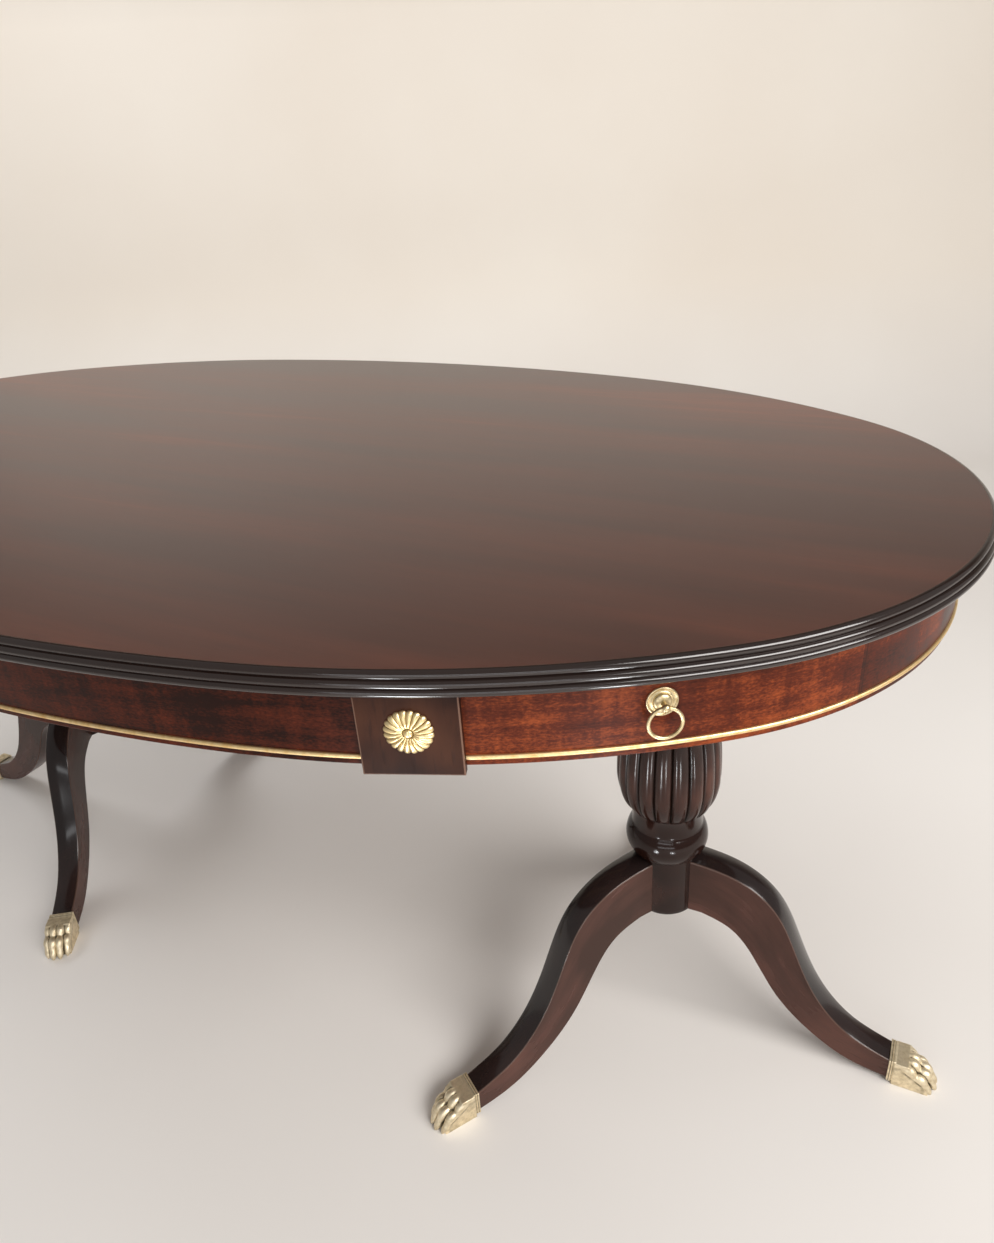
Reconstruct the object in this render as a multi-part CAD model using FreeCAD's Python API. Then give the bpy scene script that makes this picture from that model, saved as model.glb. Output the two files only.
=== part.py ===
import FreeCAD, Part
import math
import os

V = FreeCAD.Vector
ORIGIN = V(0, 0, 0)
UP = V(0, 0, 1)
ALONG = V(1, 0, 0)
ACROSS = V(0, 1, 0)
HALF_SHARE = 0.5
QUARTER_TURN = 90.0
HALF_TURN = 180.0
FULL_TURN = 360.0

# Whole table, floor at zero, seam between the halves at X zero
TABLE_HEIGHT = 760.0
HALF_LENGTH = 840.0
HALF_WIDTH = 500.0
OVERRUN = 6.0
CURVE_GAP = 0.3
ROUND_FIT = 0.05

# Oval outline of tangent arcs, angles are those of the outward normal
END_RADIUS = 390.0
END_ANGLE = 52.7
SIDE_ANGLE = 78.6

# Top with three reeds round its edge
TOP_THICKNESS = 20.0
TOP_UNDERSIDE = TABLE_HEIGHT - TOP_THICKNESS
REED_BAND = 30.0
REED_INSET = 8.0
REED_VALLEY_SHARES = (1.0, 0.55, 0.35, 0.43)
REED_SWELL = 2.6
REED_COUNT = 3

# Dowels that line up the two halves at the seam
DOWEL_RADIUS = 4.0
DOWEL_LENGTH = 56.0
DOWEL_END_GAP = 1.0
DOWEL_SPACING = 290.0
DOWEL_PLACE_SHARES = (-1.0, 0.0, 1.0)

# Curved frieze under the top
APRON_INSET = 25.0
APRON_THICKNESS = 18.0
APRON_HEIGHT = 74.0
APRON_BOTTOM = TOP_UNDERSIDE - APRON_HEIGHT
APRON_BACK = APRON_INSET + APRON_THICKNESS

# Gilt bead let into the frieze
BEAD_RISE = 5.5
BEAD_BOTTOM = APRON_BOTTOM + BEAD_RISE
BEAD_HEIGHT = 4.2
BEAD_DEPTH = 2.4
BEAD_PROUD = 1.0
BEAD_SWELL = 1.2

# Raised tablets with rosettes
TABLET_ANGLE = 69.6
TABLET_WIDTH = 78.0
TABLET_DROP = 4.5
TABLET_BOTTOM = APRON_BOTTOM - TABLET_DROP
TABLET_SEAT = 1.5
TABLET_PROUD = 6.0
ROSETTE_RADIUS = 19.0
ROSETTE_THICKNESS = 4.7
ROSETTE_CENTRE = HALF_SHARE * (TABLET_BOTTOM + TOP_UNDERSIDE)
ROSETTE_PETALS = 20
ROSETTE_SECTION_SHARES = ((0.0, 0.96), (0.34, 1.0), (0.64, 0.925), (0.915, 0.685), (1.0, 0.37))
ROSETTE_SCALLOP_SHARE = 0.085
ROSETTE_BOSS_RADIUS = 3.6
ROSETTE_BOSS_HEIGHT = 3.4

# Ring pulls
RING_ANGLE = 56.6
RING_DROP = 29.0
RING_PIVOT_HEIGHT = TOP_UNDERSIDE - RING_DROP
RING_PIVOT_REACH = 10.0
RING_RADIUS = 12.9
RING_WIRE = 1.55
RING_EYE_CLEARANCE = 0.9
ROSE_SEAT = 0.6
ROSE_RADIUS = 12.4
ROSE_RIM = 1.5
ROSE_DISH_RADIUS = 10.4
ROSE_DISH = 1.0
ROSE_DOME_RADIUS = 7.4
ROSE_DOME = 4.6
ROSE_POST_RADIUS = 2.0
ROSE_BALL_RADIUS = 3.4

# Hidden carcase: pedestal block, bearers and the sliding runners
PEDESTAL_SHARE = 0.643
PEDESTAL_X = PEDESTAL_SHARE * HALF_LENGTH
BLOCK_SIDE = 200.0
BLOCK_HEIGHT = 30.0
BEARER_WIDTH = 40.0
BEARER_HEIGHT = 35.0
BEARER_OFFSET = 88.0
BEARER_END_GAP = 40.0
RUNNER_SPACING = 150.0
RUNNER_WIDTH = 24.0
RUNNER_HEIGHT = 43.0
RUNNER_END_GAP = 12.0
RUNNER_OVERLAP = 240.0
RUNNER_RELIEF = 1.5
RUNNER_END = PEDESTAL_X - BEARER_OFFSET - HALF_SHARE * BEARER_WIDTH - RUNNER_END_GAP
SLIDE_GAP = 0.6
TONGUE_DEPTH = 8.0
TONGUE_HEIGHT = 12.0
TONGUE_DROP = 16.0
TONGUE_TOP = TOP_UNDERSIDE - TONGUE_DROP
TONGUE_BOTTOM = TONGUE_TOP - TONGUE_HEIGHT
MIDDLE_WIDTH = 34.0
MIDDLE_DROP = 4.0
MIDDLE_TOP = TOP_UNDERSIDE - MIDDLE_DROP
MIDDLE_BOTTOM = MIDDLE_TOP - RUNNER_HEIGHT
MIDDLE_HALF_LENGTH = HALF_SHARE * (RUNNER_END + RUNNER_OVERLAP)
TIE_WIDTH = 50.0
TIE_HEIGHT = 10.0

# Turned pillar with a lobed bulb
HUB_RADIUS = 41.0
HUB_BOTTOM = 198.0
COLLAR_BOTTOM = 283.0
COLLAR_HEIGHT = 69.0
COLLAR_RADIUS = 51.5
BULB_BOTTOM = COLLAR_BOTTOM + COLLAR_HEIGHT
BULB_HEIGHT = 138.0
BULB_TOP = BULB_BOTTOM + BULB_HEIGHT
BULB_RADIUS = 63.3
BULB_LOBES = 18
BULB_SCALLOP_SHARE = 0.085
BULB_SECTION_SHARES = (
    (0.0, 0.727), (0.029, 0.818), (0.087, 0.891), (0.159, 0.946), (0.246, 0.985), (0.333, 1.0),
    (0.493, 0.992), (0.652, 0.967), (0.797, 0.923), (0.913, 0.862), (0.978, 0.796), (1.0, 0.727))
CAPITAL_RADIUS = 60.0
CAPITAL_EDGE = 14.0
PILLAR_TOP = TOP_UNDERSIDE - BEARER_HEIGHT - BLOCK_HEIGHT
PILLAR_TENON_RADIUS = 22.0
PILLAR_TENON_SHORT = 2.0
COLLAR_SHARES = (
    (0.18, 0.0), (0.68, 0.1014), (1.0, 0.297), (0.8, 0.464), (0.32, 0.594), (0.26, 0.74), (0.5, 1.0))
NECK_SHARES = (
    (0.75, 0.0), (0.8, 0.022), (0.717, 0.044), (0.592, 0.093), (0.625, 0.155), (0.558, 0.51), (0.492, 0.827),
    (0.592, 0.854), (0.517, 0.881), (0.633, 0.969), (1.0, 1.0))

# Sabre legs, angles from the outward direction, reach from the pillar's axis
LEG_PLACES = ("end", "back", "front")
LEG_ANGLES = (0.0, 110.0, -124.0)
LEG_WIDTH = 37.0
LEG_END_WIDTH = 31.0
LEG_END = 302.0
LEG_TOP_GAP = 4.0
LEG_TOP = COLLAR_BOTTOM - LEG_TOP_GAP
LEG_FOOT_LOW = 6.0
LEG_FOOT_HIGH = 38.0
LEG_FLAT = 13.0
LEG_UPPER_SHARES = (
    (0.0, 1.0), (0.19, 0.967), (0.38, 0.838), (0.498, 0.606), (0.631, 0.299), (0.81, 0.095), (1.0, 0.0))
LEG_LOWER_SHARES = (
    (1.0, 0.0), (0.825, 0.047), (0.631, 0.193), (0.4525, 0.427), (0.319, 0.724), (0.19, 0.932))
LEG_TENON_WIDTH = 14.0
LEG_TENON_DEPTH = 15.0
LEG_TENON_SHOULDER = 12.5
LEG_TENON_BOTTOM = HUB_BOTTOM + LEG_TENON_SHOULDER
LEG_TENON_TOP = LEG_TOP - LEG_TENON_SHOULDER
BRACE_THICKNESS = 3.0
BRACE_RADIUS = 30.0
BRACE_ARM_WIDTH = 22.0

# Brass paw cap on a stub tenon of the leg
PAW_TENON_WIDTH = 16.0
PAW_TENON_LENGTH = 16.0
PAW_TENON_SHOULDER = 7.0
PAW_COLLAR_LENGTH = 7.0
PAW_COLLAR_LIP = 2.4
PAW_BACK = LEG_END + PAW_COLLAR_LENGTH
PAW_LENGTH = 44.0
PAW_HEIGHT = 41.5
PAW_WIDTH = 36.0
PAW_BODY_SHARES = ((0.0, 0.94), (0.3, 0.93), (0.55, 0.72), (0.82, 0.36), (1.0, 0.0))
PAW_TOE_SPREAD = 14.5
PAW_TOE_SETBACK = 5.0
PAW_TOE_PLACE_SHARES = ((-1.0, 1.0), (-0.34, 0.0), (0.34, 0.0), (1.0, 1.0))
PAW_JOINT_SHARES = ((0.5, 0.76), (0.8, 0.47), (1.06, 0.17))
PAW_JOINT_RADII = (6.8, 6.4, 5.6)



def solve_oval():
    """Radii of the shoulder and side arcs that meet the end arc and the half width."""
    end = math.radians(END_ANGLE)
    side = math.radians(SIDE_ANGLE)
    a = math.cos(side) - math.cos(end)
    b = -math.cos(side)
    c = math.sin(side) - math.sin(end)
    d = 1 - math.sin(side)
    p = END_RADIUS - HALF_LENGTH - END_RADIUS * math.cos(end)
    q = HALF_WIDTH - END_RADIUS * math.sin(end)
    det = a * d - b * c
    return (p * d - b * q) / det, (a * q - c * p) / det


SHOULDER_RADIUS, SIDE_RADIUS = solve_oval()


def oval_arc(angle):
    """Centre and radius of the outline's arc whose normal points along the angle."""
    if abs(angle) <= END_ANGLE:
        return V(HALF_LENGTH - END_RADIUS, 0, 0), END_RADIUS
    sign = math.copysign(1, angle)
    if abs(angle) <= SIDE_ANGLE:
        shift = END_RADIUS - SHOULDER_RADIUS
        x = HALF_LENGTH - END_RADIUS + shift * math.cos(math.radians(END_ANGLE))
        return V(x, sign * shift * math.sin(math.radians(END_ANGLE)), 0), SHOULDER_RADIUS
    return V(0, sign * (HALF_WIDTH - SIDE_RADIUS), 0), SIDE_RADIUS


def arc_point(arc, angle, inset, z):
    centre, radius = arc
    turn = math.radians(angle)
    reach = radius - inset
    return V(centre.x + reach * math.cos(turn), centre.y + reach * math.sin(turn), z)


def oval_point(angle, inset, z):
    return arc_point(oval_arc(angle), angle, inset, z)


def arc_spans(start, stop):
    """Cut a range of normal angles where one arc of the outline meets the next."""
    marks = [m for m in (-SIDE_ANGLE, -END_ANGLE, END_ANGLE, SIDE_ANGLE) if start < m < stop]
    marks = [start] + marks + [stop]
    return list(zip(marks[:-1], marks[1:]))


def line(first, last):
    return Part.LineSegment(first, last).toShape()


def lines(points):
    return [line(first, last) for first, last in zip(points[:-1], points[1:])]


def join(solids):
    if len(solids) == 1:
        return solids[0]
    return solids[0].multiFuse(solids[1:]).removeSplitter()


def band(make_face, start, stop):
    """Carry an (inset, height) profile round the outline between two normal angles."""
    pieces = []
    for first, last in arc_spans(start, stop):
        arc = oval_arc(HALF_SHARE * (first + last))
        face = make_face(lambda inset, z: arc_point(arc, first, inset, z))
        pieces.append(face.revolve(arc[0], UP, last - first))
    return join(pieces)


def oval_plate(inset, bottom, top):
    edges = []
    for first, last in arc_spans(-QUARTER_TURN, QUARTER_TURN):
        middle = HALF_SHARE * (first + last)
        arc = oval_arc(middle)
        edges.append(Part.Arc(*[arc_point(arc, a, inset, bottom) for a in (first, middle, last)]).toShape())
    edges.append(line(oval_point(QUARTER_TURN, inset, bottom), oval_point(-QUARTER_TURN, inset, bottom)))
    return Part.Face(Part.Wire(edges)).extrude(V(0, 0, top - bottom))


def box(low, high):
    size = high.sub(low)
    return Part.makeBox(size.x, size.y, size.z, low)


def on_apron(shape, angle):
    """Carry a shape from a local frame, Y outward, to the frieze at a normal angle."""
    shape.rotate(ORIGIN, UP, angle - QUARTER_TURN)
    shape.translate(oval_point(angle, APRON_INSET, 0))
    return shape


def facing_out(shape, reach, height):
    """Turn a shape built along Z so that it points outward at a height on the frieze."""
    shape.rotate(ORIGIN, ALONG, -QUARTER_TURN)
    shape.translate(V(0, reach, height))
    return shape


def scalloped_wire(z, crest, count, share):
    """Closed outline of equal outward arcs, valleys lower than crests by the share."""
    valley = crest * (1 - share)
    step = FULL_TURN / count
    edges = []
    for i in range(count):
        ends = []
        for turn, radius in ((i, valley), (i + HALF_SHARE, crest), (i + 1, valley)):
            angle = math.radians(turn * step)
            ends.append(V(radius * math.cos(angle), radius * math.sin(angle), z))
        edges.append(Part.Arc(*ends).toShape())
    return Part.Wire(edges)


def scalloped_loft(levels, count, share):
    wires = [scalloped_wire(z, crest, count, share) for z, crest in levels]
    return Part.makeLoft(wires, True, False)


def turned(before, profile, after):
    """Turn lines, a chain of meridian arcs, and lines back to the start about Z."""
    points = [V(r, 0, z) for r, z in profile]
    edges = lines([V(r, 0, z) for r, z in before] + points[:1])
    for i in range(0, len(points) - 1, 2):
        edges.append(Part.Arc(points[i], points[i + 1], points[i + 2]).toShape())
    edges += lines(points[-1:] + [V(r, 0, z) for r, z in after + before[:1]])
    return Part.Face(Part.Wire(edges)).revolve(ORIGIN, UP, FULL_TURN)


def reed_face(place):
    """Edge profile: flat top, three swelling reeds, flat underside."""
    step = TOP_THICKNESS / REED_COUNT
    insets = [share * REED_INSET for share in REED_VALLEY_SHARES]
    edges = [line(place(REED_BAND, TABLE_HEIGHT), place(insets[0], TABLE_HEIGHT))]
    for i in range(REED_COUNT):
        z = TABLE_HEIGHT - i * step
        crest = HALF_SHARE * (insets[i] + insets[i + 1]) - REED_SWELL
        middle = place(crest, z - HALF_SHARE * step)
        edges.append(Part.Arc(place(insets[i], z), middle, place(insets[i + 1], z - step)).toShape())
    back = [place(REED_BAND, TOP_UNDERSIDE), place(REED_BAND, TABLE_HEIGHT)]
    edges += lines([place(insets[-1], TOP_UNDERSIDE)] + back)
    return Part.Face(Part.Wire(edges))


def dowel_places():
    height = TABLE_HEIGHT - HALF_SHARE * TOP_THICKNESS
    return [V(0, share * DOWEL_SPACING, height) for share in DOWEL_PLACE_SHARES]


def make_top():
    plate = oval_plate(REED_BAND, TOP_UNDERSIDE, TABLE_HEIGHT)
    top = join([plate, band(reed_face, -QUARTER_TURN, QUARTER_TURN)])
    depth = HALF_SHARE * DOWEL_LENGTH + DOWEL_END_GAP
    for place in dowel_places():
        start = place.sub(V(OVERRUN, 0, 0))
        top = top.cut(Part.makeCylinder(DOWEL_RADIUS + ROUND_FIT, depth + OVERRUN, start, ALONG))
    return top


def make_dowels():
    back = V(HALF_SHARE * DOWEL_LENGTH, 0, 0)
    return [Part.makeCylinder(DOWEL_RADIUS, DOWEL_LENGTH, place.sub(back), ALONG) for place in dowel_places()]


def apron_face(place):
    """Frieze section with a groove for the bead."""
    deep = APRON_INSET + BEAD_DEPTH + CURVE_GAP
    bead_top = BEAD_BOTTOM + BEAD_HEIGHT
    corners = (
        (APRON_INSET, APRON_BOTTOM), (APRON_INSET, BEAD_BOTTOM), (deep, BEAD_BOTTOM), (deep, bead_top),
        (APRON_INSET, bead_top), (APRON_INSET, TOP_UNDERSIDE),
        (APRON_BACK, TOP_UNDERSIDE), (APRON_BACK, APRON_BOTTOM))
    points = [place(inset, z) for inset, z in corners]
    return Part.Face(Part.makePolygon(points + points[:1]))


def tablet_seat():
    half = HALF_SHARE * TABLET_WIDTH
    return box(V(-half, -TABLET_SEAT, APRON_BOTTOM - OVERRUN), V(half, OVERRUN, TOP_UNDERSIDE + OVERRUN))


def rose_seat():
    return facing_out(Part.makeCylinder(ROSE_RADIUS + CURVE_GAP, OVERRUN), -ROSE_SEAT, RING_PIVOT_HEIGHT)


def make_apron():
    apron = band(apron_face, -QUARTER_TURN, QUARTER_TURN)
    for sign in (1, -1):
        apron = apron.cut(on_apron(tablet_seat(), sign * TABLET_ANGLE))
        apron = apron.cut(on_apron(rose_seat(), sign * RING_ANGLE))
    return apron


def bead_face(place):
    """Bead section: back in the groove, rounded front standing proud."""
    back = APRON_INSET + BEAD_DEPTH
    front = APRON_INSET - BEAD_PROUD
    top = BEAD_BOTTOM + BEAD_HEIGHT
    swell = place(front - BEAD_SWELL, BEAD_BOTTOM + HALF_SHARE * BEAD_HEIGHT)
    edges = lines([place(front, top), place(back, top), place(back, BEAD_BOTTOM), place(front, BEAD_BOTTOM)])
    edges.append(Part.Arc(place(front, BEAD_BOTTOM), swell, place(front, top)).toShape())
    return Part.Face(Part.Wire(edges))


def make_bead():
    """Three lengths of bead, broken at the two tablets."""
    half = HALF_SHARE * TABLET_WIDTH + CURVE_GAP
    gap = math.degrees(half / (oval_arc(TABLET_ANGLE)[1] - APRON_INSET))
    inner = TABLET_ANGLE - gap
    outer = TABLET_ANGLE + gap
    spans = ((-QUARTER_TURN, -outer), (-inner, inner), (outer, QUARTER_TURN))
    return [band(bead_face, first, last) for first, last in spans]


def make_tablet():
    half = HALF_SHARE * TABLET_WIDTH
    return box(V(-half, -TABLET_SEAT, TABLET_BOTTOM), V(half, TABLET_PROUD, TOP_UNDERSIDE))


def make_rosette():
    levels = sections(ROSETTE_SECTION_SHARES, 0, ROSETTE_THICKNESS, ROSETTE_RADIUS)
    petals = scalloped_loft(levels, ROSETTE_PETALS, ROSETTE_SCALLOP_SHARE)
    boss = Part.makeSphere(ROSETTE_BOSS_RADIUS, V(0, 0, ROSETTE_BOSS_HEIGHT))
    floor = Part.makeCylinder(ROSETTE_RADIUS, ROSETTE_RADIUS, V(0, 0, -ROSETTE_RADIUS))
    return facing_out(petals.fuse(boss).cut(floor), TABLET_PROUD, ROSETTE_CENTRE)


def make_rose():
    """Dished back plate, dome, post and the ball the ring hangs in."""
    dish = ROSE_DISH + ROSE_SEAT
    dome = ROSE_DOME + ROSE_SEAT
    reach = RING_PIVOT_REACH + ROSE_SEAT
    eighth = math.radians(HALF_SHARE * QUARTER_TURN)
    points = [
        V(0, 0, dome), V(0, 0, 0), V(ROSE_RADIUS, 0, 0), V(ROSE_RADIUS, 0, ROSE_RIM + ROSE_SEAT),
        V(ROSE_DISH_RADIUS, 0, dish), V(ROSE_DOME_RADIUS, 0, dish)]
    shoulder = V(ROSE_DOME_RADIUS * math.cos(eighth), 0, dish + (dome - dish) * math.sin(eighth))
    edges = lines(points) + [Part.Arc(points[-1], shoulder, points[0]).toShape()]
    plate = Part.Face(Part.Wire(edges)).revolve(ORIGIN, UP, FULL_TURN)
    post = Part.makeCylinder(ROSE_POST_RADIUS, reach)
    ball = Part.makeSphere(ROSE_BALL_RADIUS, V(0, 0, reach))
    length = ROSE_BALL_RADIUS + OVERRUN
    eye = Part.makeCylinder(RING_WIRE + RING_EYE_CLEARANCE, length + length, V(-length, 0, reach), ALONG)
    return facing_out(plate.multiFuse([post, ball]).cut(eye), -ROSE_SEAT, RING_PIVOT_HEIGHT)


def make_ring():
    centre = V(0, RING_PIVOT_REACH, RING_PIVOT_HEIGHT - RING_RADIUS)
    return Part.makeTorus(RING_RADIUS, RING_WIRE, centre, ACROSS)


def sections(shares, bottom, height, radius):
    """Heights and crest radii of a lobed body from its shares."""
    return [(bottom + z * height, r * radius) for z, r in shares]


def make_pillar(turns):
    """Turned pillar with a lobed bulb, mortised for the legs."""
    swell = COLLAR_RADIUS - HUB_RADIUS
    collar = [(HUB_RADIUS + r * swell, COLLAR_BOTTOM + z * COLLAR_HEIGHT) for r, z in COLLAR_SHARES]
    hub = [(0, HUB_BOTTOM), (HUB_RADIUS, HUB_BOTTOM), (HUB_RADIUS, COLLAR_BOTTOM)]
    lower = turned(hub, collar, [(0, BULB_BOTTOM)])
    levels = sections(BULB_SECTION_SHARES, BULB_BOTTOM, BULB_HEIGHT, BULB_RADIUS)
    bulb = scalloped_loft(levels, BULB_LOBES, BULB_SCALLOP_SHARE)
    rise = PILLAR_TOP - CAPITAL_EDGE - BULB_TOP
    neck = [(r * CAPITAL_RADIUS, BULB_TOP + z * rise) for r, z in NECK_SHARES]
    upper = turned([(0, BULB_TOP)], neck, [(CAPITAL_RADIUS, PILLAR_TOP), (0, PILLAR_TOP)])
    tenon = Part.makeCylinder(PILLAR_TENON_RADIUS, BLOCK_HEIGHT - PILLAR_TENON_SHORT, V(0, 0, PILLAR_TOP))
    pillar = lower.multiFuse([bulb, upper, tenon])
    for turn in turns:
        pillar = pillar.cut(turned_about(leg_tenon(OVERRUN), turn))
    return pillar


def leg_tenon(shoulder):
    half = HALF_SHARE * LEG_TENON_WIDTH
    low = V(HUB_RADIUS - LEG_TENON_DEPTH, -half, LEG_TENON_BOTTOM)
    return box(low, V(HUB_RADIUS + shoulder, half, LEG_TENON_TOP))


def paw_tenon():
    half = HALF_SHARE * PAW_TENON_WIDTH
    low = V(LEG_END, -half, LEG_FOOT_LOW + PAW_TENON_SHOULDER)
    return box(low, V(LEG_END + PAW_TENON_LENGTH, half, LEG_FOOT_HIGH - PAW_TENON_SHOULDER))


def flow(points):
    """Smooth edge through a few points in a vertical plane."""
    curve = Part.BSplineCurve()
    curve.interpolate(points)
    return curve.toShape()


def make_leg():
    """Sabre leg cut from its side outline and its tapering plan, with a tenon at each end."""
    span = LEG_END - HUB_RADIUS
    high = LEG_TOP - LEG_FOOT_HIGH
    low = HUB_BOTTOM - LEG_FOOT_LOW
    upper = [V(HUB_RADIUS + x * span, 0, LEG_FOOT_HIGH + z * high) for x, z in LEG_UPPER_SHARES]
    lower = [V(HUB_RADIUS + x * span, 0, LEG_FOOT_LOW + z * low) for x, z in LEG_LOWER_SHARES]
    lower.append(V(HUB_RADIUS + LEG_FLAT, 0, HUB_BOTTOM))
    edges = [flow(upper), line(upper[-1], lower[0]), flow(lower)]
    edges += lines([lower[-1], V(0, 0, HUB_BOTTOM), V(0, 0, LEG_TOP), upper[0]])
    side = Part.Face(Part.Wire(edges))
    side.translate(V(0, -HALF_SHARE * LEG_WIDTH, 0))
    wide = HALF_SHARE * LEG_WIDTH
    narrow = HALF_SHARE * LEG_END_WIDTH
    plan = [V(0, -wide, 0), V(HUB_RADIUS, -wide, 0), V(LEG_END, -narrow, 0)]
    plan += [V(LEG_END, narrow, 0), V(HUB_RADIUS, wide, 0), V(0, wide, 0)]
    taper = Part.Face(Part.makePolygon(plan + plan[:1])).extrude(V(0, 0, COLLAR_BOTTOM))
    blank = side.extrude(V(0, LEG_WIDTH, 0)).common(taper)
    leg = blank.cut(Part.makeCylinder(HUB_RADIUS + CURVE_GAP, COLLAR_BOTTOM))
    return leg.multiFuse([leg_tenon(LEG_FLAT), paw_tenon()]).removeSplitter()


def make_toe(place_share, setback_share):
    """One toe: two knuckles and a rounded tip, joined by tapering bones."""
    joints = []
    for reach, height in PAW_JOINT_SHARES:
        x = PAW_BACK + reach * PAW_LENGTH - setback_share * PAW_TOE_SETBACK
        joints.append(V(x, place_share * PAW_TOE_SPREAD, height * PAW_HEIGHT))
    pieces = [Part.makeSphere(radius, joint) for radius, joint in zip(PAW_JOINT_RADII, joints)]
    for i, way in enumerate(last.sub(first) for first, last in zip(joints[:-1], joints[1:])):
        pieces.append(Part.makeCone(PAW_JOINT_RADII[i], PAW_JOINT_RADII[i + 1], way.Length, joints[i], way))
    return pieces


def make_paw():
    """Lion paw cap: collar, body, four toes and a socket for the leg."""
    half = HALF_SHARE * LEG_END_WIDTH + PAW_COLLAR_LIP
    low = V(LEG_END, -half, LEG_FOOT_LOW - PAW_COLLAR_LIP)
    collar = box(low, V(PAW_BACK, half, LEG_FOOT_HIGH + PAW_COLLAR_LIP))
    outline = [V(PAW_BACK + x * PAW_LENGTH, 0, z * PAW_HEIGHT) for x, z in PAW_BODY_SHARES]
    edges = [flow(outline)] + lines([outline[-1], V(PAW_BACK, 0, 0), outline[0]])
    side = Part.Face(Part.Wire(edges))
    side.translate(V(0, -HALF_SHARE * PAW_WIDTH, 0))
    pieces = [side.extrude(V(0, PAW_WIDTH, 0))]
    for place_share, setback_share in PAW_TOE_PLACE_SHARES:
        pieces += make_toe(place_share, setback_share)
    below = box(V(LEG_END, -PAW_WIDTH, -PAW_HEIGHT), V(PAW_BACK + PAW_LENGTH + PAW_HEIGHT, PAW_WIDTH, 0))
    return collar.multiFuse(pieces).cut(below).cut(paw_tenon())


def make_brace(turns):
    """Iron plate with an arm under each leg."""
    bottom = HUB_BOTTOM - BRACE_THICKNESS
    half = HALF_SHARE * BRACE_ARM_WIDTH
    arm = box(V(0, -half, bottom), V(HUB_RADIUS + LEG_FLAT, half, HUB_BOTTOM))
    arms = [turned_about(arm, turn) for turn in turns]
    return join([Part.makeCylinder(BRACE_RADIUS, BRACE_THICKNESS, V(0, 0, bottom))] + arms)


def make_block():
    half = HALF_SHARE * BLOCK_SIDE
    block = box(V(-half, -half, PILLAR_TOP), V(half, half, PILLAR_TOP + BLOCK_HEIGHT))
    start = V(0, 0, PILLAR_TOP - OVERRUN)
    length = BLOCK_HEIGHT + OVERRUN + OVERRUN
    return block.cut(Part.makeCylinder(PILLAR_TENON_RADIUS + ROUND_FIT, length, start))


def make_bearer(offset):
    """Bearer across the half, its ends following the frieze at a gap."""
    half = HALF_SHARE * BEARER_WIDTH
    bottom = TOP_UNDERSIDE - BEARER_HEIGHT
    low = V(PEDESTAL_X + offset - half, -HALF_WIDTH, bottom)
    bar = box(low, V(PEDESTAL_X + offset + half, HALF_WIDTH, TOP_UNDERSIDE))
    return bar.common(oval_plate(APRON_BACK + BEARER_END_GAP, bottom, TOP_UNDERSIDE))


def make_runner():
    """Side runner with a tongue towards the middle runner, eased where the other half passes over it."""
    face = -HALF_SHARE * MIDDLE_WIDTH - SLIDE_GAP
    low = V(-RUNNER_OVERLAP, face - RUNNER_WIDTH, TOP_UNDERSIDE - RUNNER_HEIGHT)
    bar = box(low, V(RUNNER_END, face, TOP_UNDERSIDE))
    relief = box(V(-RUNNER_OVERLAP - OVERRUN, face - RUNNER_WIDTH - OVERRUN, TOP_UNDERSIDE - RUNNER_RELIEF),
                 V(0, face + OVERRUN, TOP_UNDERSIDE + OVERRUN))
    tongue = box(V(-RUNNER_OVERLAP, face, TONGUE_BOTTOM), V(RUNNER_END, face + TONGUE_DEPTH, TONGUE_TOP))
    return bar.cut(relief).fuse(tongue).removeSplitter()


def make_middle_runner():
    """Middle runner grooved on both faces to hang on the tongues."""
    half = HALF_SHARE * MIDDLE_WIDTH
    length = MIDDLE_HALF_LENGTH + OVERRUN
    bar = box(V(-MIDDLE_HALF_LENGTH, -half, MIDDLE_BOTTOM), V(MIDDLE_HALF_LENGTH, half, MIDDLE_TOP))
    for sign in (1, -1):
        near, far = sorted((sign * (half - TONGUE_DEPTH), sign * (half + OVERRUN)))
        bar = bar.cut(box(V(-length, near, TONGUE_BOTTOM - SLIDE_GAP), V(length, far, TONGUE_TOP)))
    return bar


def make_tie():
    half = HALF_SHARE * TIE_WIDTH
    reach = RUNNER_SPACING + HALF_SHARE * MIDDLE_WIDTH
    return box(V(-half, -reach, MIDDLE_BOTTOM - TIE_HEIGHT), V(half, reach, MIDDLE_BOTTOM))


def moved(shape, x, y):
    copy = shape.copy()
    copy.translate(V(x, y, 0))
    return copy


def turned_about(shape, angle):
    copy = shape.copy()
    copy.rotate(ORIGIN, UP, angle)
    return copy


def right_half():
    """Pieces of the right half above its pedestal by name, front and back as seen from the front."""
    pieces = {"top": [make_top()], "apron": [make_apron()], "bead": make_bead()}
    for place, sign in (("front", -1), ("back", 1)):
        pieces["tablet_" + place] = [on_apron(make_tablet(), sign * TABLET_ANGLE)]
        pieces["rosette_" + place] = [on_apron(make_rosette(), sign * TABLET_ANGLE)]
        pieces["ring_rose_" + place] = [on_apron(make_rose(), sign * RING_ANGLE)]
        pieces["ring_" + place] = [on_apron(make_ring(), sign * RING_ANGLE)]
        pieces["runner_" + place] = [moved(make_runner(), 0, sign * RUNNER_SPACING)]
    pieces["block"] = [moved(make_block(), PEDESTAL_X, 0)]
    pieces["bearer_inner"] = [make_bearer(-BEARER_OFFSET)]
    pieces["bearer_outer"] = [make_bearer(BEARER_OFFSET)]
    return pieces


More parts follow.
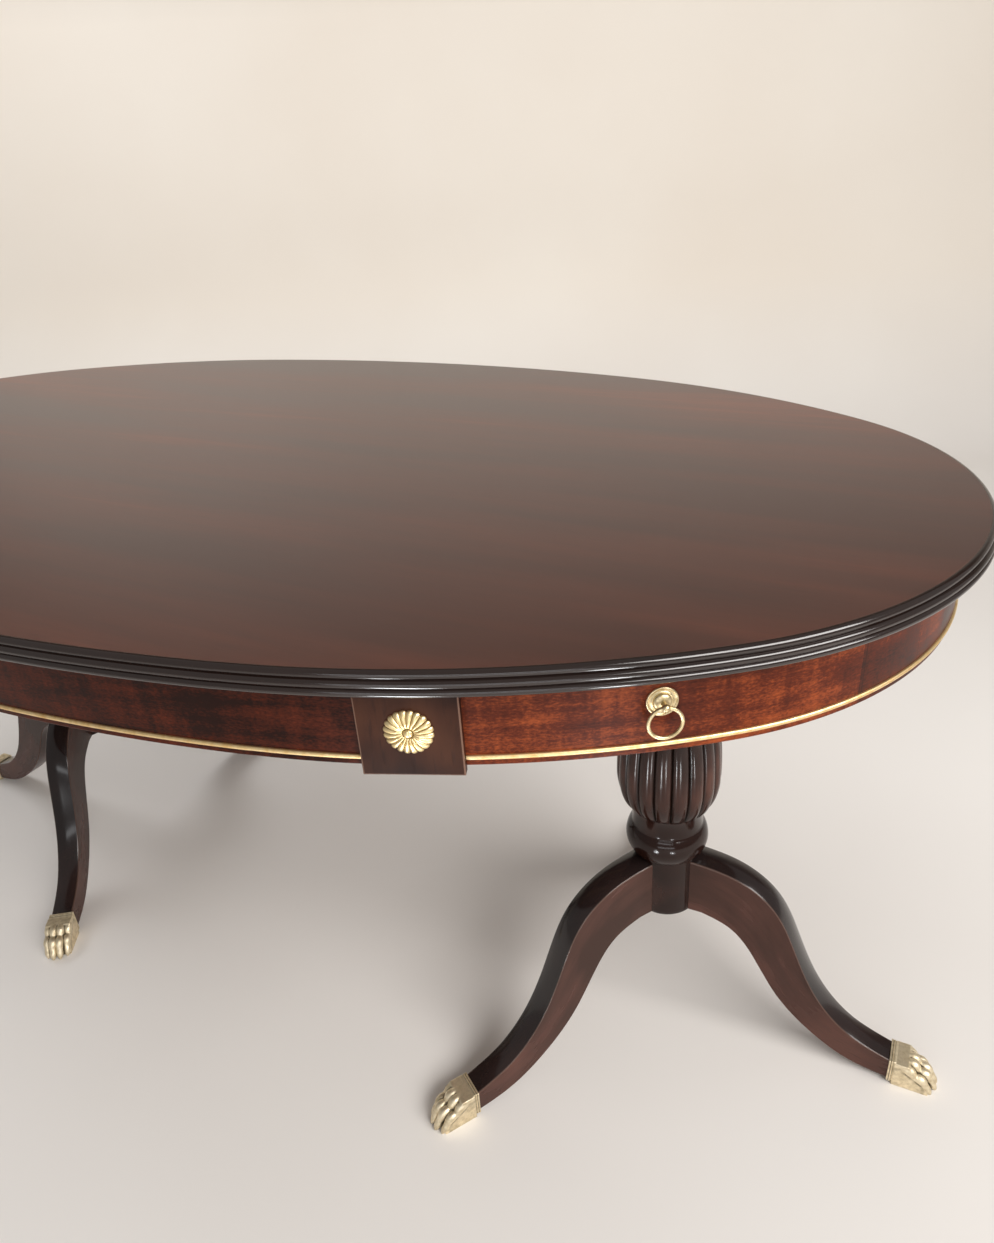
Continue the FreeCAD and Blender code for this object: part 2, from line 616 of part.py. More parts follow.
def pedestal(side):
    """Pillar, legs, paws and brace of one side by name; the left pedestal mirrors the right one."""
    turns = [angle if side > 0 else HALF_TURN - angle for angle in LEG_ANGLES]
    x = side * PEDESTAL_X
    pieces = {"pillar": moved(make_pillar(turns), x, 0), "brace": moved(make_brace(turns), x, 0)}
    leg = make_leg()
    paw = make_paw()
    for place, turn in zip(LEG_PLACES, turns):
        pieces["leg_" + place] = moved(turned_about(leg, turn), x, 0)
        pieces["paw_" + place] = moved(turned_about(paw, turn), x, 0)
    return pieces


def left_name(name):
    """The left half is otherwise the right half turned about Z, so front and back change places."""
    if name.endswith("front"):
        return name.replace("front", "back")
    return name.replace("back", "front")


os.makedirs("parts", exist_ok=True)
nodes = {"seam_dowels": make_dowels(), "middle_tie": [make_tie()]}
for name, solids in right_half().items():
    nodes["right_" + name] = solids
    nodes["left_" + left_name(name)] = [turned_about(solid, HALF_TURN) for solid in solids]
for half, side in (("right_", 1), ("left_", -1)):
    for name, solid in pedestal(side).items():
        nodes[half + name] = [solid]
for place, sign in (("front", -1), ("back", 1)):
    nodes["middle_runner_" + place] = [moved(make_middle_runner(), 0, sign * RUNNER_SPACING)]
for name, solids in nodes.items():
    shape = solids[0] if len(solids) == 1 else Part.makeCompound(solids)
    shape.exportStep("parts/" + name + ".step")
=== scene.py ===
import math
import bpy
import numpy as np
from mathutils import Matrix


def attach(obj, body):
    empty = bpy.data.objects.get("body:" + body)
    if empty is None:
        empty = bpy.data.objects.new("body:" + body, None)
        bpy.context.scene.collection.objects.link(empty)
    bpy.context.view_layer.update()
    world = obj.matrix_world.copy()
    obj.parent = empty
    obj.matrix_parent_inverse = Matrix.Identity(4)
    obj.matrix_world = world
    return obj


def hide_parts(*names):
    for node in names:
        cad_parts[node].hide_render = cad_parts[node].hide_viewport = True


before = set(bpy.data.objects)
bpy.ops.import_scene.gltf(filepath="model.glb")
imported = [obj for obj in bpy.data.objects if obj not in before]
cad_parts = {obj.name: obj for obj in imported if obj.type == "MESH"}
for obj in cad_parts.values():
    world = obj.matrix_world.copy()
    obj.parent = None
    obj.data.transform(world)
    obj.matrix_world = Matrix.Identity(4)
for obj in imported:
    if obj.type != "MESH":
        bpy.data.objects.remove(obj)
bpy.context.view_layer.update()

# Metres in a millimetre, and the angle in degrees past which an edge looks sharp
MM = 0.001
SHARP_ANGLE = 40.0

SIDES = (("right", 1.0), ("left", -1.0))

# Sizes of the table in millimetres and degrees, as in the CAD part
HEIGHT = 760.0
TOP_LOW = 740.0
END_RADIUS = 390.0
SHOULDER_RADIUS = 839.75
HALF_LENGTH = 840.0
HALF_WIDTH = 500.0
END_ANGLE = 52.7
SIDE_ANGLE = 78.6
APRON_INSET = 25.0
APRON_THICK = 18.0
APRON_LOW = 666.0
BEAD_LOW, BEAD_HIGH = 671.5, 675.7
TABLET_ANGLE = 69.6
TABLET_HALF = 39.0
TABLET_LOW = 661.5
TABLET_DEPTH = 6.0
ROSETTE_HEIGHT = 700.75
ROSETTE_RADIUS = 19.0
PETALS = 20
RING_ANGLE = 56.6
RING_PIVOT = 711.0
RING_REACH = 10.0
RING_RADIUS = 12.9
RING_WIRE = 1.55
PEDESTAL = 540.12
HUB_RADIUS = 41.0
HUB_LOW, HUB_HIGH = 198.0, 283.0
BULB_LOW, BULB_WIDEST, BULB_HIGH = 352.0, 398.0, 490.0
BULB_NECK, BULB_SWELL = 46.0, 17.3
LOBES = 18
LOBE_DEPTH = 0.11
PILLAR_HIGH = 675.0
FLANGE_RADIUS, FLANGE_LOW = 60.0, 661.0
LEG_ANGLES = {"end": 0.0, "back": 110.0, "front": -124.0}
LEG_START, LEG_END = 30.0, 302.0
LEG_ROOT = (198.0, 279.0)
LEG_TOE = (6.0, 38.0)
LEG_WIDE = (37.0, 31.0)
PAW_BACK = 309.0


# Meshes

def grid(points, wrap=False, **marks):
    """Rows of points joined by quads. Rows that shrink to one point become poles, others get a flat cap."""
    rows, cols = points.shape[:2]
    index = np.arange(rows * cols).reshape(rows, cols)
    pole = [np.ptp(points[r], axis=0).max() < 1e-6 for r in (0, -1)]
    for r, is_pole in zip((0, -1), pole):
        if is_pole:
            index[r] = index[r, 0]
    ring = np.concatenate([index, index[:, :1]], axis=1) if wrap else index
    quads = np.stack([ring[:-1, :-1], ring[:-1, 1:], ring[1:, 1:], ring[1:, :-1]], axis=-1)
    faces = []
    if pole[0]:
        faces.append(quads[0][:, [0, 2, 3]])
    if pole[1]:
        faces.append(quads[-1][:, [0, 1, 2]])
    faces.append(quads[int(pole[0]):len(quads) - int(pole[1])].reshape(-1, 4))
    if wrap and not pole[0]:
        faces.append(index[:1, ::-1])
    if wrap and not pole[1]:
        faces.append(index[-1:])
    spread = {}
    for key, mark in marks.items():
        spread[key] = np.broadcast_to(mark, (rows, cols) + mark.shape[2:]).reshape(rows * cols, -1)
    return {"points": points.reshape(-1, 3), "faces": faces, "marks": spread}


def volume(patch):
    """Signed volume by the fan of each face."""
    total = 0.0
    for faces in patch["faces"]:
        p = patch["points"][faces]
        for k in range(1, faces.shape[1] - 1):
            total += np.einsum("ij,ij->", p[:, 0], np.cross(p[:, k], p[:, k + 1]))
    return total


def join(patches):
    """Several closed patches as one, each turned so that its faces look outward."""
    points = np.concatenate([p["points"] for p in patches])
    faces = []
    start = 0
    for p in patches:
        flip = -1 if volume(p) < 0 else 1
        faces += [f[:, ::flip] + start for f in p["faces"]]
        start += len(p["points"])
    names = set().union(*[p["marks"] for p in patches])
    marks = {}
    for k in names:
        width = max(p["marks"][k].shape[1] for p in patches if k in p["marks"])
        marks[k] = np.concatenate([p["marks"].get(k, np.zeros((len(p["points"]), width))) for p in patches])
    return {"points": points, "faces": faces, "marks": marks}


def build(name, patches, material):
    """Mesh object at the origin from closed patches in millimetres."""
    patch = join(patches)
    used = np.unique(np.concatenate([f.ravel() for f in patch["faces"]]))
    place = np.zeros(len(patch["points"]), dtype=np.int64)
    place[used] = np.arange(len(used))
    mesh = bpy.data.meshes.new(name)
    mesh.vertices.add(len(used))
    mesh.vertices.foreach_set("co", (patch["points"][used] * MM).astype(np.float32).ravel())
    sizes = np.concatenate([np.full(len(f), f.shape[1]) for f in patch["faces"]])
    corners = np.concatenate([place[f].ravel() for f in patch["faces"]])
    mesh.loops.add(len(corners))
    mesh.loops.foreach_set("vertex_index", corners.astype(np.int32))
    mesh.polygons.add(len(sizes))
    mesh.polygons.foreach_set("loop_start", (np.cumsum(sizes) - sizes).astype(np.int32))
    mesh.update(calc_edges=True)
    mesh.polygons.foreach_set("use_smooth", np.ones(len(sizes), dtype=bool))
    mesh.set_sharp_from_angle(angle=math.radians(SHARP_ANGLE))
    for key, values in patch["marks"].items():
        kind = "FLOAT_VECTOR" if values.shape[1] == 3 else "FLOAT"
        layer = mesh.attributes.new(key, kind, "POINT")
        field = "vector" if kind == "FLOAT_VECTOR" else "value"
        layer.data.foreach_set(field, values[used].astype(np.float32).ravel())
    mesh.validate()
    mesh.materials.append(material)
    thing = bpy.data.objects.new(name, mesh)
    bpy.context.scene.collection.objects.link(thing)
    return thing


def moved(patch, angle=0.0, shift=(0.0, 0.0, 0.0)):
    """Patch turned about Z by degrees and then shifted."""
    c, s = math.cos(math.radians(angle)), math.sin(math.radians(angle))
    turn = np.array([[c, s, 0.0], [-s, c, 0.0], [0.0, 0.0, 1.0]])
    return dict(patch, points=patch["points"] @ turn + np.array(shift))


# Curves

def arc3(a, b, c, count):
    """Points on the circle through three points, from the first to the last."""
    a, b, c = (np.asarray(p, dtype=float) for p in (a, b, c))
    m = np.array([b - a, c - a]) * 2
    centre = np.linalg.solve(m, [b @ b - a @ a, c @ c - a @ a])
    start, mid, stop = (math.atan2(*(p - centre)[::-1]) for p in (a, b, c))
    span = (stop - start) % math.tau
    if (mid - start) % math.tau > span:
        span -= math.tau
    turn = start + span * np.linspace(0, 1, count)
    return centre + np.linalg.norm(a - centre) * np.stack([np.cos(turn), np.sin(turn)], axis=-1)


def arcs(points, count):
    """Chain of arcs through points 0-1-2, 2-3-4 and so on."""
    spans = [arc3(*points[i:i + 3], count)[:-1] for i in range(0, len(points) - 2, 2)]
    return np.concatenate(spans + [np.array([points[-1]], dtype=float)])


def flow(points, t):
    """Cubic spline through points, natural ends, at shares t of the chord length."""
    p = np.asarray(points, dtype=float)
    h = np.linalg.norm(np.diff(p, axis=0), axis=1)
    knots = np.concatenate([[0], np.cumsum(h)])
    n = len(p)
    m = np.eye(n)
    i = np.arange(1, n - 1)
    m[i, i - 1], m[i, i], m[i, i + 1] = h[:-1], 2 * (h[:-1] + h[1:]), h[1:]
    rhs = np.zeros_like(p)
    rhs[1:-1] = 6 * (np.diff(p[1:], axis=0) / h[1:, None] - np.diff(p[:-1], axis=0) / h[:-1, None])
    bend = np.linalg.solve(m, rhs)
    x = np.asarray(t) * knots[-1]
    k = np.clip(np.searchsorted(knots, x, side="right") - 1, 0, n - 2)
    u, w, g = (x - knots[k])[:, None], (knots[k + 1] - x)[:, None], h[k][:, None]
    cubic = (bend[k] * w ** 3 + bend[k + 1] * u ** 3) / (6 * g)
    return cubic + (p[k] / g - bend[k] * g / 6) * w + (p[k + 1] / g - bend[k + 1] * g / 6) * u


def rounded(corners, radius, count=4, guard=0.6):
    """Closed outline with rounded corners and a guard point beside each rounding."""
    p = np.asarray(corners, dtype=float)
    before = np.roll(p, 1, axis=0) - p
    after = np.roll(p, -1, axis=0) - p
    before /= np.linalg.norm(before, axis=1)[:, None]
    after /= np.linalg.norm(after, axis=1)[:, None]
    t = np.linspace(0, 1, count)[None, :, None]
    b, a, q = before[:, None], after[:, None], p[:, None]
    angle = t * math.pi / 2
    bend = q + radius * (b * (1 - np.sin(angle)) + a * (1 - np.cos(angle)))
    first = q + b * (radius + guard)
    last = q + a * (radius + guard)
    return np.concatenate([first, bend, last], axis=1).reshape(-1, 2)


# Oval outline of tangent arcs

END_X = HALF_LENGTH - END_RADIUS
SHOULDER_X = END_X + (END_RADIUS - SHOULDER_RADIUS) * math.cos(math.radians(END_ANGLE))
SHOULDER_Y = (END_RADIUS - SHOULDER_RADIUS) * math.sin(math.radians(END_ANGLE))
SIDE_RADIUS = SHOULDER_RADIUS + SHOULDER_X / math.cos(math.radians(SIDE_ANGLE))


def oval(angle, inset):
    """x and y of the outline at a normal angle in degrees, moved inward by inset."""
    angle = np.asarray(angle, dtype=float)
    size = np.abs(angle)
    sign = np.sign(angle)
    near, far = size <= END_ANGLE, size > SIDE_ANGLE
    radius = np.where(near, END_RADIUS, np.where(far, SIDE_RADIUS, SHOULDER_RADIUS))
    x = np.where(near, END_X, np.where(far, 0.0, SHOULDER_X))
    y = sign * np.where(near, 0.0, np.where(far, HALF_WIDTH - SIDE_RADIUS, SHOULDER_Y))
    turn = np.radians(angle)
    return x + (radius - inset) * np.cos(turn), y + (radius - inset) * np.sin(turn)


def oval_angles(first=-90.0, last=90.0, step=7.0):
    """Normal angles at about equal steps along the outline, tangent points included."""
    marks = [m for m in (-SIDE_ANGLE, -END_ANGLE, END_ANGLE, SIDE_ANGLE) if first < m < last]
    marks = [first] + marks + [last]
    spans = []
    for a, b in zip(marks[:-1], marks[1:]):
        x, y = oval(np.array([a + 1e-6, b - 1e-6]), 0)
        count = int(math.hypot(x[1] - x[0], y[1] - y[0]) / step) + 2
        spans.append(np.linspace(a, b, count)[:-1])
    return np.concatenate(spans + [[last]])


def sweep(section, first=-90.0, last=90.0):
    """Section of (inset, z) points carried round the outline: P = oval(angle, inset), z. The attribute flow
    is (arc length, inset, z), with the arc length counted from the end of the oval."""
    angles = oval_angles(first, last)
    x, y = oval(angles[:, None], section[None, :, 0])
    outer_x, outer_y = oval(angles, APRON_INSET)
    run = np.concatenate([[0], np.cumsum(np.hypot(np.diff(outer_x), np.diff(outer_y)))])
    run = run - np.interp(0.0, angles, run)
    along, inset, z = np.broadcast_arrays(run[:, None], section[None, :, 0], section[None, :, 1])
    return grid(np.stack([x, y, z], axis=-1), wrap=True, flow=np.stack([along, inset, z], axis=-1) * MM)


def on_apron(patch, angle):
    """Patch in a local frame, Y outward from the frieze, carried to a normal angle."""
    x, y = oval(angle, APRON_INSET)
    return moved(patch, angle - 90.0, (float(x), float(y), 0.0))


# Pieces

# Edge of the top: inset of the flat face's rim, of the lines between the reeds and of the underside
RIM_INSET = 8.6
REED_INSETS = (8.0, 4.4, 2.8, 3.44)
UNDER_INSET = 4.0
REED_SWELL = 2.6
REED_STEPS = 11
# Columns of points from the seam to the edge, as shares of the way
DRAW_SHARES = np.array([0.0, 0.25, 0.5, 0.75, 0.92])


def top_patch():
    """Flat face, three round reeds and underside round the outline, with x drawn in to the seam at zero.
    The attribute reed marks the edge."""
    step = (HEIGHT - TOP_LOW) / (len(REED_INSETS) - 1)
    edge = [np.array([[RIM_INSET, HEIGHT]])]
    for i, (a, b) in enumerate(zip(REED_INSETS[:-1], REED_INSETS[1:])):
        z = HEIGHT - i * step
        reed = arc3((a, z), ((a + b) / 2 - REED_SWELL, z - step / 2), (b, z - step), REED_STEPS)
        edge.append(reed[int(i > 0):])
    edge = np.concatenate(edge + [np.array([[UNDER_INSET, TOP_LOW]])])
    x, y = oval(oval_angles(step=6.0)[:, None], edge[None, :, 0])
    z = np.broadcast_to(edge[None, :, 1], x.shape)

    def level(column, shares):
        """Level strip between the seam and one column of the edge."""
        strip = np.broadcast_arrays(x[:, [column]] * shares, y[:, [column]], z[:, [column]])
        return np.stack(strip, axis=-1)

    strips = [level(0, DRAW_SHARES), np.stack([x, y, z], axis=-1), level(-1, DRAW_SHARES[::-1])]
    points = np.concatenate(strips, axis=1)
    inner = np.zeros(len(DRAW_SHARES))
    reeded = np.concatenate([inner, [0.0], np.ones(len(edge) - 1), inner])
    return grid(points, wrap=True, reed=reeded[None, :, None])


def apron_patch():
    """Flat band with rounded edges, carried round the outline."""
    outer, inner = APRON_INSET, APRON_INSET + APRON_THICK
    corners = [(outer, APRON_LOW), (outer, TOP_LOW), (inner, TOP_LOW), (inner, APRON_LOW)]
    return sweep(rounded(corners, radius=0.9))


# How far the bead stands out at its edges and crest and lies in at its root, and its gap beside a tablet
BEAD_EDGE, BEAD_CREST, BEAD_ROOT = 0.8, 2.2, 2.4
BEAD_GAP = 0.3


def bead_patches():
    """Half-round bead in three lengths, broken at the tablets."""
    edge, crest, root = APRON_INSET - BEAD_EDGE, APRON_INSET - BEAD_CREST, APRON_INSET + BEAD_ROOT
    front = arc3((edge, BEAD_LOW), (crest, (BEAD_LOW + BEAD_HIGH) / 2), (edge, BEAD_HIGH), 9)
    section = np.concatenate([front, [[root, BEAD_HIGH], [root, BEAD_LOW]]])
    gap = math.degrees((TABLET_HALF + BEAD_GAP) / (SHOULDER_RADIUS - APRON_INSET))
    inner, outer = TABLET_ANGLE - gap, TABLET_ANGLE + gap
    return [sweep(section, a, b) for a, b in ((-90.0, -outer), (-inner, inner), (outer, 90.0))]


def slab(corners, radius, depth, rim, sunk=1.5, guard=0.5):
    """Outline raised along Y from its sunk seat to its depth, with a rounded rim and a guard row before the
    flat face. Its attribute marks the rim, which the tablet paints paler as a highlight along its edge."""
    turn = np.linspace(0, math.pi / 2, 5)
    rows = [(0.0, -sunk), (0.0, depth - rim - guard)]
    rows += [(rim * (1 - math.cos(a)), depth - rim + rim * math.sin(a)) for a in turn]
    rows += [(rim + guard, depth)]
    corners = np.asarray(corners, dtype=float)
    inward = np.sign(corners.mean(axis=0) - corners)
    outlines = []
    for inset, y in rows:
        line = rounded(corners + inward * inset, radius)
        outlines.append(np.stack([line[:, 0], np.full(len(line), y), line[:, 1]], axis=-1))
    # Rim marked for a painted highlight
    worn = np.array([0.0, 0.0] + [1.0] * len(turn) + [0.0])
    return grid(np.array(outlines), wrap=True, worn=worn[:, None, None])


def tablet_patch():
    """Plain block that stands out from the frieze."""
    half = TABLET_HALF
    corners = [(-half, TABLET_LOW), (half, TABLET_LOW), (half, TOP_LOW), (-half, TOP_LOW)]
    return slab(corners, radius=0.5, depth=TABLET_DEPTH, rim=0.9)


def ring_patch():
    """Torus: (R + r cos v) round the ring, r sin v across it."""
    around, across = 96, 24
    u = np.linspace(0, math.tau, around + 1)[:-1, None]
    v = np.linspace(0, math.tau, across + 1)[None, :-1]
    r = RING_RADIUS + RING_WIRE * np.cos(v)
    out = RING_REACH + RING_WIRE * np.sin(v) + 0 * u
    p = np.stack([r * np.sin(u), out, RING_PIVOT - RING_RADIUS + r * np.cos(u)], axis=-1)
    patch = grid(np.concatenate([p, p[:1]]), wrap=True)
    patch["faces"] = [patch["faces"][0] % (around * across)]
    return patch


def spun(profile, turns):
    """Profile of (radius, height) spun about the outward axis at the ring's pivot."""
    a = np.linspace(0, math.tau, turns + 1)[None, :-1]
    r = profile[:, 0][:, None]
    h = profile[:, 1][:, None] + 0 * a
    return grid(np.stack([r * np.cos(a), h, RING_PIVOT + r * np.sin(a)], axis=-1), wrap=True)


# Rose behind the ring, in (radius, height) points: three arcs of its rim, its dome, its post and its ball
ROSE_SEAT = -0.6
ROSE_RIM = ((12.4, 0.5), (11.5, 1.6), (10.5, 0.95), (9.6, 0.65), (8.6, 0.9), (8.1, 1.3), (7.4, 1.1))
DOME_RADIUS, DOME_LOW, DOME_RISE = 7.3, 1.1, 3.5
ROSE_POST = ((0.0, 3.0), (2.3, 3.0), (2.0, 5.2), (1.9, 8.0), (0.0, 8.0))
ROSE_BALL = 3.4


def rose_patches():
    """Back plate with rolled rim, dish and dome, a post and a ball: profiles spun about the outward axis."""
    wide = ROSE_RIM[0][0]
    plate = [np.array([[0.0, ROSE_SEAT], [wide, ROSE_SEAT], ROSE_RIM[0]]), arc3(*ROSE_RIM[:3], 9)]
    plate += [arc3(*ROSE_RIM[i:i + 3], 6)[1:] for i in (2, 4)]
    turn = np.linspace(0, math.pi / 2, 15)
    plate.append(np.stack([DOME_RADIUS * np.cos(turn), DOME_LOW + DOME_RISE * np.sin(turn)], axis=-1))
    turn = np.linspace(-math.pi / 2, math.pi / 2, 25)
    ball = np.stack([ROSE_BALL * np.cos(turn), RING_REACH + ROSE_BALL * np.sin(turn)], axis=-1)
    return [spun(np.concatenate(plate), 96), spun(np.array(ROSE_POST), 32), spun(ball, 48)]


# Relief of the rosette: its dome, its petals with scalloped ends, and the groove and button in the middle
ROSETTE_RIM, ROSETTE_RISE = 0.5, 2.4
PETAL_RISE, PETAL_SCALLOP, PETAL_FADE = 1.7, 1.9, 5.0
GROOVE_RADIUS, GROOVE_WIDE, GROOVE_DEPTH = 3.9, 0.55, 0.9
BUTTON_RADIUS, BUTTON_LOW, BUTTON_RISE = 3.5, 2.6, 2.1


def rosette_patch():
    """Low dome with ribs: h = dome(r) + rib(r) sqrt(1 - w^2) across each petal's width w, rounded at the
    rim, with a groove and a button in the middle. Its attribute marks the creases between the petals and the
    groove, where the gilt takes painted shade with some grime."""
    a = np.linspace(0, math.tau, PETALS * 24 + 1)[None, :-1]
    s = np.sin(np.linspace(0, math.pi / 2, 72))[:, None]
    w = np.abs((a * PETALS / math.tau) % 1.0 - 0.5) * 2
    arch = np.sqrt(np.clip(1 - w ** 2, 0, 1))
    r = s * (ROSETTE_RADIUS - PETAL_SCALLOP * (1 - arch))
    rib = np.clip((r - GROOVE_RADIUS) / PETAL_FADE, 0, 1) ** 0.7
    edge = np.sqrt(np.clip(1 - s ** 9, 0, 1))
    groove = np.exp(-((r - GROOVE_RADIUS) / GROOVE_WIDE) ** 2)
    dome = ROSETTE_RIM + ROSETTE_RISE * (1 - (r / (ROSETTE_RADIUS + 0.5)) ** 3)
    h = (dome + PETAL_RISE * rib * arch - GROOVE_DEPTH * groove) * edge
    button = BUTTON_LOW + BUTTON_RISE * np.sqrt(np.clip(1 - (r / BUTTON_RADIUS) ** 2, 0, 1))
    h = np.where(r < BUTTON_RADIUS, np.maximum(button, h), h)
    # Painted shade with some grime in the creases between the petals and in the groove
    dark = np.clip(rib * np.clip((w - 0.72) / 0.28, 0, 1) ** 1.5 + 0.8 * groove, 0, 1)
    p = np.stack([r * np.sin(a), TABLET_DEPTH + h, ROSETTE_HEIGHT + r * np.cos(a)], axis=-1)
    return grid(p, wrap=True, dirt=dark[..., None])


# Foot and top step of the hub, in (radius, height) points counted from its edge
HUB_FOOT = ((-HUB_RADIUS, 0.0), (-1.4, 0.0), (-0.4, 0.4), (0.0, 1.4), (0.0, 6.0))
HUB_STEP = ((0.0, -0.4), (0.4, 0.0))
# Collar and neck of the pillar, in (radius, height) points of arcs that follow one another, and the flange
COLLAR = ((42.9, HUB_HIGH), (48.1, 290.0), (51.5, 303.5), (49.4, 315.0), (44.4, 324.0), (43.7, 334.1),
          (46.3, BULB_LOW))
NECK = ((45.0, BULB_HIGH), (48.0, 493.8), (43.0, 497.5), (35.5, 505.9), (37.5, 516.5), (33.5, 577.2),
        (29.5, 631.4), (35.5, 636.0), (31.0, 640.7), (38.0, 655.7), (FLANGE_RADIUS, FLANGE_LOW))
FLANGE = ((FLANGE_RADIUS, FLANGE_LOW + 0.6), (FLANGE_RADIUS, PILLAR_HIGH), (0.0, PILLAR_HIGH))
# Length over which the lobes fade out at each end of the bulb
LOBE_FADE = 9.0


def pillar_patch():
    """Radius along the pillar's height. On the bulb it is r (1 - d (1 - sqrt(1 - u^2))) across the width u
    of each lobe. Its attribute marks the grooves between the lobes, where the wood takes painted shade."""
    fall, rise, full = BULB_WIDEST - BULB_LOW, BULB_HIGH - BULB_WIDEST, 1.75
    low = BULB_WIDEST - fall * np.cos(np.linspace(0, math.pi / 2, 40))
    high = BULB_WIDEST + rise * np.sin(np.linspace(0, math.pi / 2, 44))[1:]
    k = (BULB_WIDEST - low) / fall
    lower = np.stack([BULB_NECK + BULB_SWELL * (1 - k ** full) ** (1 / full), low], axis=-1)
    k = (high - BULB_WIDEST) / rise
    upper = np.stack([BULB_NECK + BULB_SWELL * np.sqrt(1 - k ** 2), high], axis=-1)
    foot = np.array(HUB_FOOT) + [HUB_RADIUS, HUB_LOW]
    step = np.array(HUB_STEP) + [HUB_RADIUS, HUB_HIGH]
    line = np.concatenate([foot, step, arcs(COLLAR, 12), lower, upper, arcs(NECK, 12), np.array(FLANGE)])
    r, z = line[:, 0][:, None], line[:, 1][:, None]
    a = np.linspace(0, math.tau, LOBES * 22 + 1)[None, :-1]
    from_ends = (z - BULB_LOW, BULB_HIGH - z)
    on = np.prod([np.sqrt(np.clip(room / LOBE_FADE, 0, 1)) for room in from_ends], axis=0)
    u = np.abs((a * LOBES / math.tau + 0.5) % 1.0 - 0.5) * 2
    arch = np.sqrt(1 - (0.985 * u) ** 2)
    reach = r * (1 - on * LOBE_DEPTH * (1 - arch))
    p = np.stack([reach * np.cos(a), reach * np.sin(a), z + 0 * a], axis=-1)
    # Painted shade in the grooves between the lobes, fading out at the ends of the bulb
    dark = on * np.clip((u - 0.72) / 0.25, 0, 1)
    return grid(p, wrap=True, dirt=dark[..., None])


# Side curves of a leg, as shares of its reach and of its fall from root to toe
LEG_UPPER_SHARES = ((0.0, 1.0), (0.19, 0.967), (0.38, 0.838), (0.498, 0.606), (0.631, 0.299), (0.81, 0.095),
                    (1.0, 0.0))
LEG_LOWER_SHARES = ((0.04943, 1.0), (0.19, 0.932), (0.319, 0.724), (0.4525, 0.427), (0.631, 0.193),
                    (0.825, 0.047), (1.0, 0.0))
# Rounded edges of a leg, the crown of its top face, which fades out before the paw, and the width of wear
LEG_ROUND = 1.3
LEG_CROWN, CROWN_FADE = 4.4, 50.0
LEG_WEAR = 2.2


def leg_section(wide, tall, crown):
    """Outline with rounded edges, whose top face is lifted by crown (1 - (2 y / wide)^2), half of it above
    the side curve."""
    half, high = wide / 2, tall - crown / 2
    edge = rounded([(-half, 0.0), (half, 0.0), (half, high), (-half, high)], LEG_ROUND, 5)
    split = len(edge) * 3 // 4
    roof = np.stack([np.linspace(half - 3, 3 - half, 13), np.full(13, high)], axis=-1)
    line = np.concatenate([edge[:split], roof, edge[split:]])
    line[:, 1] += crown * (1 - (line[:, 0] / half) ** 2) * (line[:, 1] > high - LEG_ROUND - 0.01)
    return line


def leg_patch():
    """Crowned section between the upper and lower side curves, its width tapering along the reach. The
    attributes are flow (along, across, up), one on the edges for paler wear, and upper on the top face,
    which carries a painted shade and the coat."""
    t = np.linspace(0, 1, 110)
    reach = LEG_END - HUB_RADIUS
    curves = []
    for shares, root, toe in zip((LEG_LOWER_SHARES, LEG_UPPER_SHARES), LEG_ROOT, LEG_TOE):
        curve = flow([(HUB_RADIUS + x * reach, toe + z * (root - toe)) for x, z in shares], t)
        curves.append(np.concatenate([[[LEG_START, root]], curve]))
    lower, upper = curves
    run = np.concatenate([[0], np.cumsum(np.linalg.norm(np.diff(upper, axis=0), axis=1))])
    tall = np.linalg.norm(upper - lower, axis=1)
    wide = np.interp(upper[:, 0], [HUB_RADIUS, LEG_END], LEG_WIDE)
    crown = LEG_CROWN * np.clip((LEG_END - upper[:, 0]) / CROWN_FADE, 0, 1)
    section = np.array([leg_section(*size) for size in zip(wide, tall, crown)])
    across, up = section[..., 0], section[..., 1]
    k = up / tall[:, None]
    x = lower[:, :1] * (1 - k) + upper[:, :1] * k
    z = lower[:, 1:] * (1 - k) + upper[:, 1:] * k
    level = (tall - crown / 2)[:, None]
    from_edge = wide[:, None] / 2 - np.abs(across) + np.minimum(up, np.abs(level - up))
    worn = np.clip(1 - from_edge / LEG_WEAR, 0, 1)
    along = np.broadcast_to(run[:, None], up.shape)
    # The top face is marked for its painted shade and its coat; the edges for wear
    marks = {"flow": np.stack([along, across, up], axis=-1) * MM, "worn": worn[..., None],
             "upper": (up > level - 0.7).astype(float)[..., None]}
    return grid(np.stack([x, across, z], axis=-1), wrap=True, **marks)


# Balls along each toe: step from the paw's back, share of the toe's place across, height and radius
TOES = {
    5.0: [(9, 0.9, 31.5, 5.0), (15, 0.96, 33.0, 5.6), (22, 1.0, 31.8, 6.7), (28.6, 1.0, 25.2, 5.1),
          (36.5, 1.0, 22.6, 6.4), (42.6, 1.0, 15.2, 4.8), (46.4, 1.0, 8.6, 4.9), (49.2, 1.0, 4.2, 3.5),
          (51.0, 1.0, 1.5, 1.7)],
    14.2: [(7, 0.9, 30.5, 4.8), (12, 0.97, 31.2, 5.4), (18, 1.0, 29.8, 6.3), (24.2, 1.0, 23.4, 4.9),
           (31.6, 1.0, 20.8, 6.0), (37.4, 1.0, 14.0, 4.6), (41.2, 1.0, 8.0, 4.7), (44.0, 1.0, 4.0, 3.3),
           (45.8, 1.0, 1.4, 1.6)]}
PAW_HEART = 14.0
# Planes as a normal and the room from the heart: the wedge body, and the flat floor, back and sides
PAW_BODY = (((0, 0, 1), 24.6), ((0.75, 0, 0.662), 18.0), ((0, 1, 0), 18.4), ((0, -1, 0), 18.4),
            ((1, 0, 0), 29.0))
PAW_CUTS = (((0, 0, -1), PAW_HEART), ((-1, 0, 0), 14.5), ((0, 1, 0), 20.2), ((0, -1, 0), 20.2))
